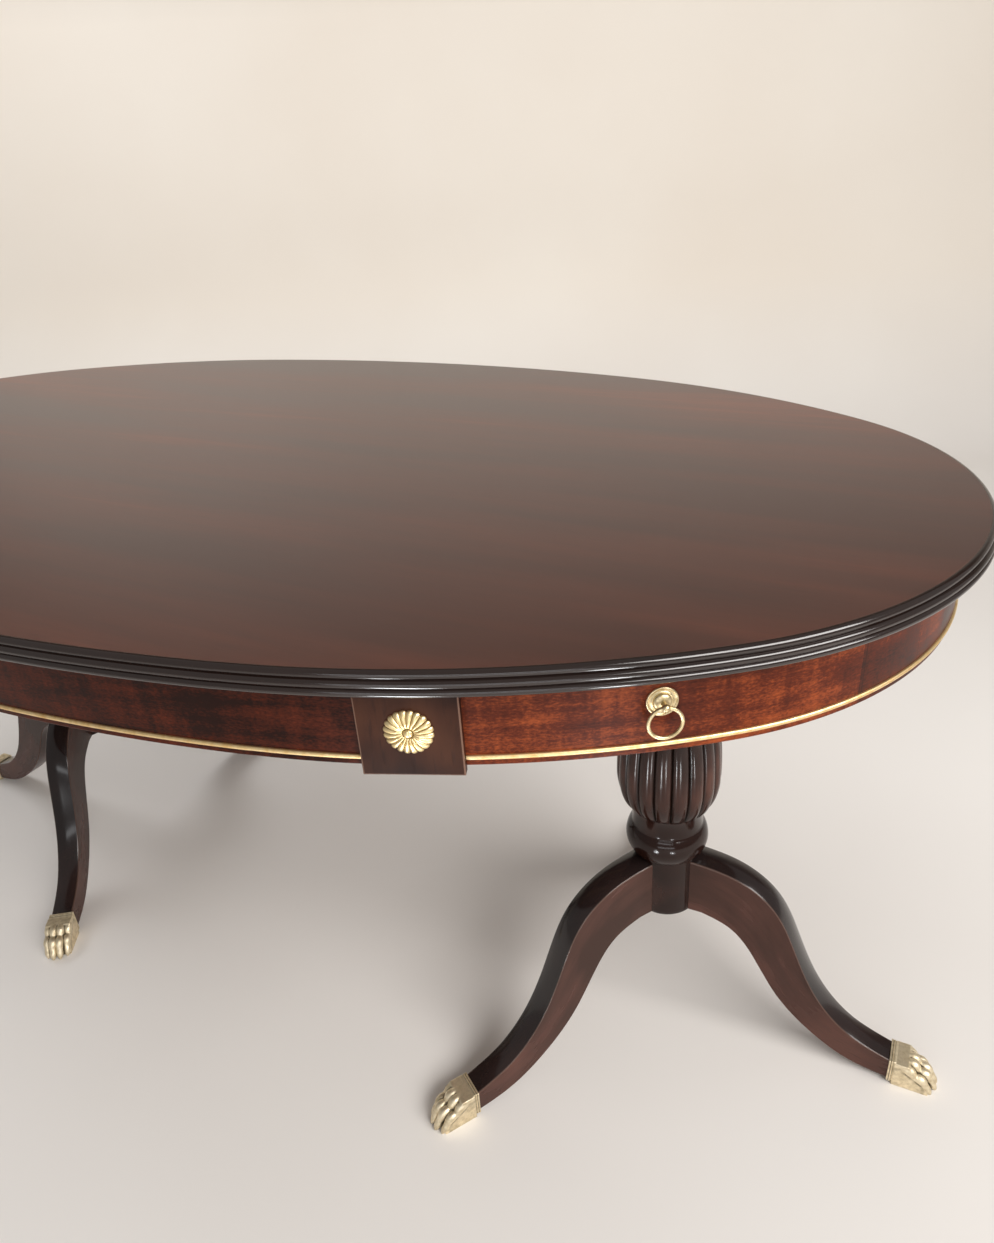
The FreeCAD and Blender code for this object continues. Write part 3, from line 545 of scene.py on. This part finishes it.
# Bands of the collar: step along the leg, swell and shade with grime painted in its grooves; and its half
# width, low and high before the swell
PAW_COLLAR = ((0.0, 1.5, 0.0), (0.3, 2.2, 0.0), (2.0, 2.2, 0.0), (2.4, 1.5, 0.8), (2.8, 1.5, 0.8),
              (3.2, 2.1, 0.0), (4.6, 2.1, 0.0), (5.0, 1.6, 0.7), (6.0, 1.6, 0.2), (8.0, 1.4, 0.0),
              (9.0, 0.6, 0.0))
PAW_COLLAR_BOX = (15.6, 5.4, 37.6)


def cut_reach(d, normal, room):
    """Reach along each direction d up to a plane that lies room away along its normal."""
    rate = d @ np.array(normal)
    return np.where(rate > 1e-3, room / np.maximum(rate, 1e-3), 99.0)


def greatest(values, sharp):
    """Smooth maximum over the first axis: ln(sum(exp(sharp v))) / sharp."""
    return np.log(np.sum(np.exp(np.asarray(values) * sharp), axis=0)) / sharp


def paw_patches():
    """Paw: reach along each direction d from an inner point, the smooth greatest of a wedge body and the
    balls of four toes, t = d.c + sqrt((d.c)^2 - c.c + r^2), cut flat at floor, back and sides. Collar:
    outlines stacked along the leg. The attribute marks the creases of the paw and the grooves of the
    collar, where the brass takes painted shade with some grime."""
    heart = np.array([PAW_BACK + PAW_HEART, 0.0, PAW_HEART])
    rows, cols = 190, 280
    tilt = np.linspace(0, math.pi, rows)[:, None]
    turn = np.linspace(0, math.tau, cols + 1)[None, :-1]
    ring = np.sin(tilt)
    d = np.stack([np.cos(tilt) + 0 * turn, ring * np.cos(turn), ring * np.sin(turn)], axis=-1)
    forms = [-greatest([-cut_reach(d, *plane) for plane in PAW_BODY], 1.6)]
    for side in (-1.0, 1.0):
        for across, path in TOES.items():
            balls = np.array(path, dtype=float) * [1.0, side * across, 1.0, 1.0] + [PAW_BACK, 0.0, 0.0, 0.0]
            balls = flow(balls, np.linspace(0, 1, 44))
            c = balls[:, :3] - heart
            along = d @ c.T
            inside = along ** 2 - np.sum(c * c, axis=1) + balls[:, 3] ** 2
            forms.append(np.where(inside > 0, along + np.sqrt(np.clip(inside, 0, None)), -9.0).max(axis=-1))
    reach = greatest(forms, 2.6)
    around = [np.roll(reach, k, axis=1) for k in (-7, 7)]
    around += [reach[np.clip(np.arange(rows) + k, 0, rows - 1)] for k in (-6, 6)]
    # Painted shade with some grime where the surface folds in, between the toes and the body
    crease = np.clip((np.mean(around, axis=0) - reach - 0.25) / 1.1, 0, 1)
    limit = np.min([cut_reach(d, *plane) for plane in PAW_CUTS], axis=0)
    p = heart + d * np.minimum(-greatest([-reach, -limit], 3.0), limit)[..., None]
    paw = grid(p, wrap=True, dirt=crease[..., None])
    half, low, high = PAW_COLLAR_BOX
    band = []
    for step, swell, _ in PAW_COLLAR:
        w, b, t = half + swell, low - swell, high + swell
        o = rounded([(-w, b), (w, b), (w, t), (-w, t)], 1.0)
        band.append(np.stack([np.full(len(o), LEG_END + step), o[:, 0], o[:, 1]], axis=-1))
    # Painted shade with some grime in the grooves between the collar's bands
    dirt = np.array([row[2] for row in PAW_COLLAR])[:, None, None]
    return [paw, grid(np.array(band), wrap=True, dirt=dirt)]


# Materials

VECTOR, COLOUR, VALUE = "NodeSocketVector", "NodeSocketColor", "NodeSocketFloat"


def material(name, **values):
    """New material with its shader's values set; gives the material, its node tree and the shader."""
    mat = bpy.data.materials.new(name)
    mat.use_nodes = True
    shader = mat.node_tree.nodes["Principled BSDF"]
    for key, value in values.items():
        shader.inputs[key.replace("_", " ")].default_value = value
    return mat, mat.node_tree, shader


def add(tree, kind, ins=None, **props):
    """New node; each input is linked to a socket or set to a value."""
    node = tree.nodes.new(kind)
    for key, value in props.items():
        setattr(node, key, value)
    for key, value in (ins or {}).items():
        socket = node.inputs[key]
        if isinstance(value, bpy.types.NodeSocket):
            tree.links.new(value, socket)
        else:
            socket.default_value = value
    return node


def group(name, ins, outs):
    """New node group with named sockets; gives its tree, what comes in and what goes out."""
    tree = bpy.data.node_groups.new(name, "ShaderNodeTree")
    for way, sockets in (("INPUT", ins), ("OUTPUT", outs)):
        for key, kind in sockets.items():
            tree.interface.new_socket(name=key, in_out=way, socket_type=kind)
    return tree, tree.nodes.new("NodeGroupInput").outputs, tree.nodes.new("NodeGroupOutput").inputs


def link(tree, outs, **values):
    """Values linked to the inputs of the same names."""
    for key, value in values.items():
        tree.links.new(value, outs[key])


def ramp(tree, fac, stops, kind="LINEAR"):
    """Colour from a row of (place, colour) stops."""
    node = add(tree, "ShaderNodeValToRGB", {0: fac})
    line = node.color_ramp
    line.interpolation = kind
    while len(line.elements) < len(stops):
        line.elements.new(1.0)
    for element, (place, colour) in zip(line.elements, stops):
        element.position = place
        element.color = (*colour, 1.0)
    return node.outputs[0]


def mix(tree, fac, first, second):
    """Colour between two colours."""
    return add(tree, "ShaderNodeMix", {0: fac, 6: first, 7: second}, data_type="RGBA").outputs[2]


def span(tree, value, low, high, first=0.0, last=1.0):
    """Value from low to high carried to first to last, and held there."""
    return add(tree, "ShaderNodeMapRange", {0: value, 1: low, 2: high, 3: first, 4: last}).outputs[0]


def value_of(tree, operation, *values, clamp=False):
    """Result of an operation on values."""
    node = add(tree, "ShaderNodeMath", dict(enumerate(values)), operation=operation, use_clamp=clamp)
    return node.outputs[0]


def vector_of(tree, operation, *values):
    """Result of an operation on vectors."""
    return add(tree, "ShaderNodeVectorMath", dict(enumerate(values)), operation=operation).outputs[0]


def noise(tree, vector, scale, detail, rough=0.5):
    """Value and colour of a noise with its own scale on each axis."""
    spread = vector_of(tree, "MULTIPLY", vector, scale)
    ins = {"Vector": spread, "Scale": 1.0, "Detail": detail, "Roughness": rough}
    return add(tree, "ShaderNodeTexNoise", ins).outputs


def mark_value(tree, name):
    """A piece's own attribute as a value."""
    return add(tree, "ShaderNodeAttribute", attribute_name=name).outputs["Fac"]


def place(tree, attribute=None):
    """Place on a piece: its attribute where one is named, or else its object coordinates."""
    if attribute:
        return add(tree, "ShaderNodeAttribute", attribute_name=attribute).outputs["Vector"]
    return add(tree, "ShaderNodeTexCoord").outputs["Object"]


def use(tree, shared, **ins):
    """What a shared group puts out in this material."""
    return add(tree, "ShaderNodeGroup", ins, node_tree=shared).outputs


def wood_group():
    """Streaks and mottle stretched along the grain, with fine dark pores."""
    tree, ins, outs = group(
        "wood_grain",
        {"Vector": VECTOR, "Stretch": VECTOR, "Mottle": VECTOR, "Dark": COLOUR, "Mid": COLOUR,
         "Light": COLOUR},
        {"Color": COLOUR, "Streak": VALUE, "Height": VALUE})
    long = vector_of(tree, "MULTIPLY", ins["Vector"], ins["Stretch"])
    cloud = noise(tree, ins["Vector"], ins["Mottle"], 3.0)
    bent = vector_of(tree, "MULTIPLY_ADD", cloud["Color"], (0.35, 0.35, 0.35), long)
    streak = noise(tree, bent, (1.0, 1.0, 1.0), 8.0, 0.62)[0]
    tone = span(tree, value_of(tree, "MULTIPLY_ADD", streak, cloud[0], cloud[0]), 0.62, 1.08)
    pore = span(tree, noise(tree, long, (9.0, 9.0, 9.0), 2.0)[0], 0.56, 0.72)
    colour = mix(tree, span(tree, tone, 0.0, 0.5), ins["Dark"], ins["Mid"])
    colour = mix(tree, span(tree, tone, 0.5, 1.0), colour, ins["Light"])
    colour = mix(tree, value_of(tree, "MULTIPLY", pore, 0.45), colour, ins["Dark"])
    link(tree, outs, Color=colour, Streak=tone, Height=value_of(tree, "SUBTRACT", 1.0, pore))
    return tree


# Leaves of veneer on the frieze: start in metres from the end of the oval, and tone. The last entry is no
# leaf: it is painted shade, darker from there towards the middle of the long sides.
LEAVES_AND_SHADE = ((0.0, 0.0), (0.083, 0.4), (0.138, 0.2), (0.215, 0.62), (0.575, 0.02))
SEAMS = [start for start, _ in LEAVES_AND_SHADE[1:4]]


# Noises in the veneer: scale along, into and up the frieze, detail, and weight
VENEER_NOISES = (
    ((11.0, 1.0, 110.0), 6.0, 0.7), ((9.0, 1.0, 16.0), 3.0, 0.7), ((70.0, 1.0, 9.0), 3.0, 0.45))
# Half the width of a seam in metres
SEAM_HALF = 0.0005


def veneer_group():
    """Streaks along the frieze, faint upright ripple, short flecks, and leaves of veneer that change tone
    at thin seams, with painted shade that darkens the frieze from 0.575 m on towards the middle of its long
    sides."""
    tree, ins, outs = group(
        "veneer", {"Vector": VECTOR, "Dark": COLOUR, "Mid": COLOUR, "Light": COLOUR},
        {"Color": COLOUR, "Streak": VALUE, "Height": VALUE})
    vector = ins["Vector"]
    away = value_of(tree, "ABSOLUTE", add(tree, "ShaderNodeSeparateXYZ", {0: vector}).outputs[0])
    # The last step of this ramp is painted shade towards the middle of the long sides
    leaf_and_shade = ramp(tree, away, [(start, (tone, tone, tone)) for start, tone in LEAVES_AND_SHADE], "CONSTANT")
    fleck = noise(tree, vector, (260.0, 1.0, 620.0), 4.0, 0.6)[0]
    tone = 0.0
    for scale, detail, weight in VENEER_NOISES:
        tone = value_of(tree, "MULTIPLY_ADD", noise(tree, vector, scale, detail, 0.6)[0], weight, tone)
    for value, weight in ((fleck, 0.75), (leaf_and_shade, 0.5)):
        tone = value_of(tree, "MULTIPLY_ADD", value, weight, tone)
    streak = span(tree, tone, 1.18, 1.56)
    colour = mix(tree, streak, ins["Dark"], ins["Mid"])
    colour = mix(tree, span(tree, tone, 1.56, 1.98), colour, ins["Light"])
    seams = 0.0
    for seam in SEAMS:
        seams = value_of(tree, "MAXIMUM", value_of(tree, "COMPARE", away, seam, SEAM_HALF), seams)
    colour = mix(tree, value_of(tree, "MULTIPLY", seams, 0.7), colour, ins["Dark"])
    link(tree, outs, Color=colour, Streak=streak, Height=value_of(tree, "SUBTRACT", fleck, seams))
    return tree


def metal_group():
    """Cloudy tarnish, fine specks, and a dark tone where the piece's own mask says: painted shade in creases
    and grooves, with grime.
    """
    tree, ins, outs = group(
        "brass_tarnish",
        {"Vector": VECTOR, "Bright": COLOUR, "Dull": COLOUR, "Grime": COLOUR, "Dirt": VALUE},
        {"Color": COLOUR, "Rough": VALUE})
    cloud = noise(tree, ins["Vector"], (160.0, 160.0, 160.0), 5.0)[0]
    speck = noise(tree, ins["Vector"], (900.0, 900.0, 900.0), 3.0)[0]
    # Painted shade with grime: the mask darkens the colour and dulls the gloss, broken up by the specks
    dirt = value_of(tree, "MULTIPLY", ins["Dirt"], span(tree, speck, 0.42, 0.7, 0.7, 1.2), clamp=True)
    colour = mix(tree, span(tree, cloud, 0.35, 0.68), ins["Bright"], ins["Dull"])
    rough = value_of(tree, "MULTIPLY_ADD", dirt, 0.35, span(tree, cloud, 0.3, 0.7, 0.0, 0.18))
    link(tree, outs, Color=mix(tree, dirt, colour, ins["Grime"]), Rough=rough)
    return tree


WOOD, VENEER, METAL = wood_group(), veneer_group(), metal_group()

# Depth of the pores in metres, and the coat on a shining face
PORE_DEPTH = 0.0003
COAT_WEIGHT, COAT_ROUGH = 0.45, 0.12


def dress(tree, shader, colour, sheen, height, bump, marks=()):
    """Colour, roughness and relief into the shader; each mark is (attribute, colour, share, roughness)."""
    for key, tint, share, rough in marks:
        fac = value_of(tree, "MULTIPLY", mark_value(tree, key), share, clamp=True)
        colour = mix(tree, fac, colour, (*tint, 1))
        sheen = add(tree, "ShaderNodeMix", {0: fac, 2: sheen, 3: rough}).outputs[0]
    relief = add(tree, "ShaderNodeBump", {"Strength": bump, "Distance": PORE_DEPTH, "Height": height})
    tree.links.new(colour, shader.inputs["Base Color"])
    tree.links.new(sheen, shader.inputs["Roughness"])
    tree.links.new(relief.outputs[0], shader.inputs["Normal"])


def wood(name, stretch, mottle, dark, mid, light, rough, attribute=None, bump=0.15, marks=(), shine=None,
         **values):
    """Wood finish: grain colours, roughness between two values, fine pores in relief, and a coat where
    shine says."""
    mat, tree, shader = material(name, Coat_Roughness=COAT_ROUGH, **values)
    grain = use(tree, WOOD, Vector=place(tree, attribute), Stretch=stretch, Mottle=mottle, Dark=(*dark, 1),
                Mid=(*mid, 1), Light=(*light, 1))
    sheen = span(tree, grain["Streak"], 0.0, 1.0, *rough)
    dress(tree, shader, grain["Color"], sheen, grain["Height"], bump, marks)
    if shine:
        coat = value_of(tree, "MULTIPLY", mark_value(tree, shine), COAT_WEIGHT)
        tree.links.new(coat, shader.inputs["Coat Weight"])
    return mat


def veneer(name, dark, mid, light, rough, bump=0.05, **values):
    """Veneer finish along the piece's own flow attribute."""
    mat, tree, shader = material(name, **values)
    look = use(tree, VENEER, Vector=place(tree, "flow"), Dark=(*dark, 1), Mid=(*mid, 1), Light=(*light, 1))
    sheen = span(tree, look["Streak"], 0.0, 1.0, *rough)
    dress(tree, shader, look["Color"], sheen, look["Height"], bump)
    return mat


def metal(name, bright, dull, shade_and_grime_colour, rough, attribute=None):
    """Metal finish, tarnished in clouds, and darkened where the attribute says: painted shade in the
    creases, with grime.
    """
    mat, tree, shader = material(name, Metallic=1.0)
    dirt = mark_value(tree, attribute) if attribute else 0.0
    look = use(tree, METAL, Vector=place(tree), Bright=(*bright, 1), Dull=(*dull, 1), Grime=(*shade_and_grime_colour, 1),
               Dirt=dirt)
    tree.links.new(look["Color"], shader.inputs["Base Color"])
    tree.links.new(value_of(tree, "ADD", look["Rough"], rough), shader.inputs["Roughness"])
    return mat


top_wood = wood(
    "top_mahogany", stretch=(2.2, 38.0, 38.0), mottle=(0.9, 5.2, 5.2), dark=(0.042, 0.010, 0.005),
    mid=(0.078, 0.018, 0.008), light=(0.152, 0.036, 0.015), rough=(0.29, 0.32), bump=0.005,
    marks=[("reed", (0.008, 0.005, 0.004), 0.92, 0.11)], Specular_IOR_Level=0.74)
apron_wood = veneer(
    "frieze_mahogany", dark=(0.013, 0.003, 0.0015), mid=(0.078, 0.013, 0.004), light=(0.32, 0.066, 0.016),
    rough=(0.28, 0.36), Specular_IOR_Level=0.12)
# Its mark paints shade into the grooves between the pillar's lobes, with a duller gloss there
black_wood = wood(
    "ebonised_mahogany", stretch=(30.0, 30.0, 4.0), mottle=(9.0, 9.0, 9.0), dark=(0.012, 0.004, 0.0025),
    mid=(0.033, 0.012, 0.008), light=(0.068, 0.026, 0.017), rough=(0.13, 0.2),
    marks=[("dirt", (0.005, 0.003, 0.002), 0.9, 0.4)], Specular_IOR_Level=0.3)
# The paler rim is a painted highlight along the tablet's edge
tablet_wood = wood(
    "tablet_mahogany", stretch=(30.0, 30.0, 5.0), mottle=(12.0, 12.0, 12.0), dark=(0.014, 0.004, 0.002),
    mid=(0.034, 0.010, 0.004), light=(0.056, 0.018, 0.007), rough=(0.34, 0.42),
    marks=[("worn", (0.24, 0.14, 0.10), 0.55, 0.35)], Specular_IOR_Level=0.12)
# The top face of each leg is painted near black as shade and takes the coat; the paler edges are wear
leg_wood = wood(
    "leg_mahogany", stretch=(4.0, 40.0, 40.0), mottle=(5.0, 9.0, 9.0), dark=(0.026, 0.010, 0.007),
    mid=(0.058, 0.022, 0.016), light=(0.092, 0.036, 0.026), rough=(0.22, 0.32), attribute="flow",
    marks=[("upper", (0.010, 0.008, 0.008), 0.85, 0.2), ("worn", (0.2, 0.12, 0.09), 0.5, 0.3)],
    shine="upper", Specular_IOR_Level=0.2)
beech = wood(
    "beech", stretch=(6.0, 60.0, 60.0), mottle=(3.0, 9.0, 9.0), dark=(0.22, 0.12, 0.06),
    mid=(0.34, 0.2, 0.11), light=(0.45, 0.29, 0.17), rough=(0.5, 0.65))
carcase = wood(
    "carcase_wood", stretch=(5.0, 40.0, 40.0), mottle=(6.0, 6.0, 6.0), dark=(0.12, 0.07, 0.04),
    mid=(0.2, 0.12, 0.07), light=(0.3, 0.19, 0.11), rough=(0.55, 0.7))
# Gilt and paw brass darken where their attribute says: painted shade in the creases, with grime
gilt = metal("gilt_brass", (0.92, 0.75, 0.42), (0.76, 0.58, 0.30), (0.12, 0.07, 0.03), 0.28, "dirt")
bead_gilt = metal("bead_gilt", (0.95, 0.73, 0.40), (0.74, 0.50, 0.22), (0.10, 0.06, 0.025), 0.34)
antique = metal("antique_brass", (0.76, 0.63, 0.40), (0.48, 0.38, 0.21), (0.06, 0.04, 0.02), 0.26)
# Painted shade with grime in the paw's creases and in the collar's grooves
paw_brass = metal("paw_brass", (0.92, 0.81, 0.60), (0.66, 0.56, 0.38), (0.11, 0.085, 0.05), 0.42, "dirt")
iron = metal("black_iron", (0.05, 0.05, 0.05), (0.03, 0.025, 0.022), (0.02, 0.01, 0.01), 0.5)


# Pieces in place

def add_piece(name, patches, mat, node, body):
    """Piece with its material that rides on a body and stands in for a CAD node."""
    thing = build(name, patches, mat)
    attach(thing, body)
    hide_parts(node)


def half_pieces(half, sign):
    """All shown pieces of one half; above the pedestal the left half is the right one turned about Z."""
    turn = 0.0 if sign > 0 else 180.0
    body = half + "_half"

    def put(label, patches, mat, rides=body):
        add_piece("look_" + label, [moved(p, turn) for p in patches], mat, label, rides)

    put(half + "_top", [top_patch()], top_wood)
    put(half + "_apron", [apron_patch()], apron_wood)
    put(half + "_bead", bead_patches(), bead_gilt)
    for where, way in (("front", -sign), ("back", sign)):
        at, pull = way * TABLET_ANGLE, way * RING_ANGLE
        put(half + "_tablet_" + where, [on_apron(tablet_patch(), at)], tablet_wood)
        put(half + "_rosette_" + where, [on_apron(rosette_patch(), at)], gilt)
        rose = [on_apron(p, pull) for p in rose_patches()]
        put(half + "_ring_rose_" + where, rose, antique)
        ring = half + "_ring_" + where
        put(ring, [on_apron(ring_patch(), pull)], antique, ring)
    spot = (sign * PEDESTAL, 0.0, 0.0)
    label = half + "_pillar"
    pillar = moved(pillar_patch(), shift=spot)
    add_piece("look_" + label, [pillar], black_wood, label, body)
    for where, angle in LEG_ANGLES.items():
        way = angle if sign > 0 else 180.0 - angle
        for name, patches, mat, finish in (("leg_", [leg_patch()], leg_wood, "ebonised_mahogany"),
                                           ("paw_", paw_patches(), paw_brass, "paw_brass")):
            label = half + "_" + name + where
            add_piece("look_" + label, [moved(p, way, spot) for p in patches], mat, label, body)


for half, sign in SIDES:
    half_pieces(half, sign)

# Finishes of the CAD pieces that stay, by a word in their names
CAD_LOOKS = {"brace": iron, "block": carcase, "bearer": carcase, "runner": beech, "tie": beech,
             "dowels": beech}
for name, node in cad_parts.items():
    for key, mat in CAD_LOOKS.items():
        if key in name:
            node.data.materials.clear()
            node.data.materials.append(mat)


# Stage

# The picture's frame in pixels, and the camera's place in metres and angles in degrees
FRAME_HEIGHT = 1243.0
FOCAL_LENGTH = 885.0
FRAME_SHIFT = (-34.0, 4.5)
STANDPOINT = (0.784, -0.849, 1.064)
AZIMUTH, ELEVATION, ROLL = -26.38, 27.81, -3.02

# Floor and wall in metres and degrees: distance of the wall, bend between them, how far they run, and turn
WALL_AWAY = 2.7
WALL_BEND = 0.7
WALL_HIGH = 5.0
FLOOR_RUN = 9.0
WALL_TURN = -26.4

# Heights in metres between which the floor's colour turns into the wall's, and the wall darkens with painted
# shade
WALL_COLOUR = (0.0, 0.6)
WALL_SHADE = (1.55, 2.9)


def make_stage():
    """Pale floor that runs up into a wall behind the table: a profile carried along a straight line. The
    wall darkens with painted shade above the camera's frame."""
    bend = np.linspace(0, math.pi / 2, 25)
    curve = WALL_AWAY - WALL_BEND * (1 - np.sin(bend))
    out = np.concatenate([[-FLOOR_RUN, 0.0, 1.2], curve, [WALL_AWAY, WALL_AWAY]])
    up = np.concatenate([[0.0, 0.0, 0.0], WALL_BEND * (1 - np.cos(bend)), [2.0, WALL_HIGH]])
    way = math.radians(WALL_TURN)
    side = np.array([math.cos(way), -math.sin(way)])
    ahead = np.array([math.sin(way), math.cos(way)])
    flat = out[:, None, None] * ahead + np.array([-FLOOR_RUN, FLOOR_RUN])[None, :, None] * side
    points = np.concatenate([flat, np.broadcast_to(up[:, None, None], flat.shape[:2] + (1,))], axis=-1)
    index = np.arange(points.shape[0] * 2).reshape(-1, 2)
    faces = np.stack([index[:-1, 0], index[:-1, 1], index[1:, 1], index[1:, 0]], axis=-1)
    mesh = bpy.data.meshes.new("studio_floor")
    mesh.from_pydata(points.reshape(-1, 3).tolist(), [], faces.tolist())
    mesh.polygons.foreach_set("use_smooth", np.ones(len(faces), dtype=bool))
    mat, tree, shader = material("studio_paper", Roughness=0.9)
    spot = place(tree)
    cloud = noise(tree, spot, (0.9, 0.9, 0.9), 3.0)[0]
    floor = ramp(tree, cloud, [(0.3, (0.79, 0.76, 0.73)), (0.7, (0.84, 0.815, 0.785))])
    wall = ramp(tree, cloud, [(0.3, (0.84, 0.77, 0.685)), (0.7, (0.88, 0.825, 0.75))])
    high = add(tree, "ShaderNodeSeparateXYZ", {0: spot}).outputs[2]
    paper = mix(tree, span(tree, high, *WALL_COLOUR), floor, wall)
    # Painted shade: the wall darkens towards its top
    paper = mix(tree, span(tree, high, *WALL_SHADE), paper, (0.2, 0.18, 0.16, 1))
    tree.links.new(paper, shader.inputs["Base Color"])
    hide = add(tree, "ShaderNodeBsdfTransparent").outputs[0]
    back = add(tree, "ShaderNodeNewGeometry").outputs["Backfacing"]
    surface = add(tree, "ShaderNodeMixShader", {0: back, 1: shader.outputs[0], 2: hide}).outputs[0]
    tree.links.new(surface, tree.nodes["Material Output"].inputs["Surface"])
    mesh.materials.append(mat)
    stage = bpy.data.objects.new("studio_floor", mesh)
    bpy.context.scene.collection.objects.link(stage)


def make_world():
    """Even grey light from all round."""
    world = bpy.data.worlds.new("studio")
    world.use_nodes = True
    world.node_tree.nodes["Background"].inputs["Color"].default_value = (0.35, 0.34, 0.33, 1.0)
    bpy.context.scene.world = world


def area(name, spot, target, size, power, colour, seen):
    """Rectangular lamp of (width, height) at a spot, turned to a target."""
    data = bpy.data.lights.new(name, "AREA")
    data.shape = "RECTANGLE"
    data.size, data.size_y = size
    data.energy = power
    data.color = colour
    lamp = bpy.data.objects.new(name, data)
    lamp.visible_camera = False
    lamp.visible_glossy = seen
    bpy.context.scene.collection.objects.link(lamp)
    back = np.array(spot) - np.array(target)
    back = back / np.linalg.norm(back)
    side = np.cross((0.0, 0.0, 1.0), back)
    side = side / np.linalg.norm(side)
    lamp.matrix_world = frame_matrix(side, np.cross(back, side), back, spot)


def frame_matrix(right, up, back, spot):
    """Place of a lamp or camera from its own three directions and its spot."""
    m = np.eye(4)
    m[:3, 0], m[:3, 1], m[:3, 2], m[:3, 3] = right, up, back, spot
    return Matrix(m.tolist())


def make_camera():
    """Camera at the photograph's standpoint."""
    az, el, roll = (math.radians(v) for v in (AZIMUTH, ELEVATION, ROLL))
    ahead = np.array([math.sin(az) * math.cos(el), math.cos(az) * math.cos(el), -math.sin(el)])
    right = np.array([math.cos(az), -math.sin(az), 0.0])
    up = np.cross(right, ahead)
    c, s = math.cos(roll), math.sin(roll)
    data = bpy.data.cameras.new("camera")
    data.sensor_width = 36.0
    data.lens = data.sensor_width * FOCAL_LENGTH / FRAME_HEIGHT
    data.shift_x, data.shift_y = (v / FRAME_HEIGHT for v in FRAME_SHIFT)
    data.clip_start = 0.01
    camera = bpy.data.objects.new("camera", data)
    bpy.context.scene.collection.objects.link(camera)
    camera.matrix_world = frame_matrix(c * right + s * up, c * up - s * right, -ahead, STANDPOINT)
    bpy.context.scene.camera = camera


# Lamps: name, place, target, width and height, watts, colour, and whether reflections show it
LAMPS = (
    ("key", (3.0, -1.0, 2.3), (0.2, 0.0, 0.5), (2.6, 1.4), 118.0, (1.0, 0.97, 0.94), True),
    ("front_high", (1.2, -3.1, 1.5), (0.5, 0.0, 0.45), (2.2, 0.3), 8.0, (0.96, 0.98, 1.0), True),
    ("front_low", (1.4, -3.1, 0.5), (0.5, 0.0, 0.35), (2.4, 0.3), 9.0, (0.96, 0.98, 1.0), True),
    ("low_left", (0.42, -0.86, 0.03), (0.47, -0.5, 9.0), (0.07, 0.36), 3.2, (0.94, 0.97, 1.0), True),
    ("low_right", (1.02, -0.80, 0.03), (0.9, -0.5, 9.0), (0.07, 0.36), 2.8, (0.96, 0.98, 1.0), True),
    ("fill", (-2.6, 0.6, 2.8), (0.0, 0.0, 0.5), (1.4, 1.4), 34.0, (0.97, 0.98, 1.0), False),
    ("wall", (-0.2, 0.6, 2.8), (-1.2, 2.4, 0.8), (2.4, 0.6), 9.0, (1.0, 0.98, 0.95), False))

make_stage()
make_world()
for lamp in LAMPS:
    area(*lamp)
make_camera()
bpy.context.scene.view_settings.view_transform = "Standard"
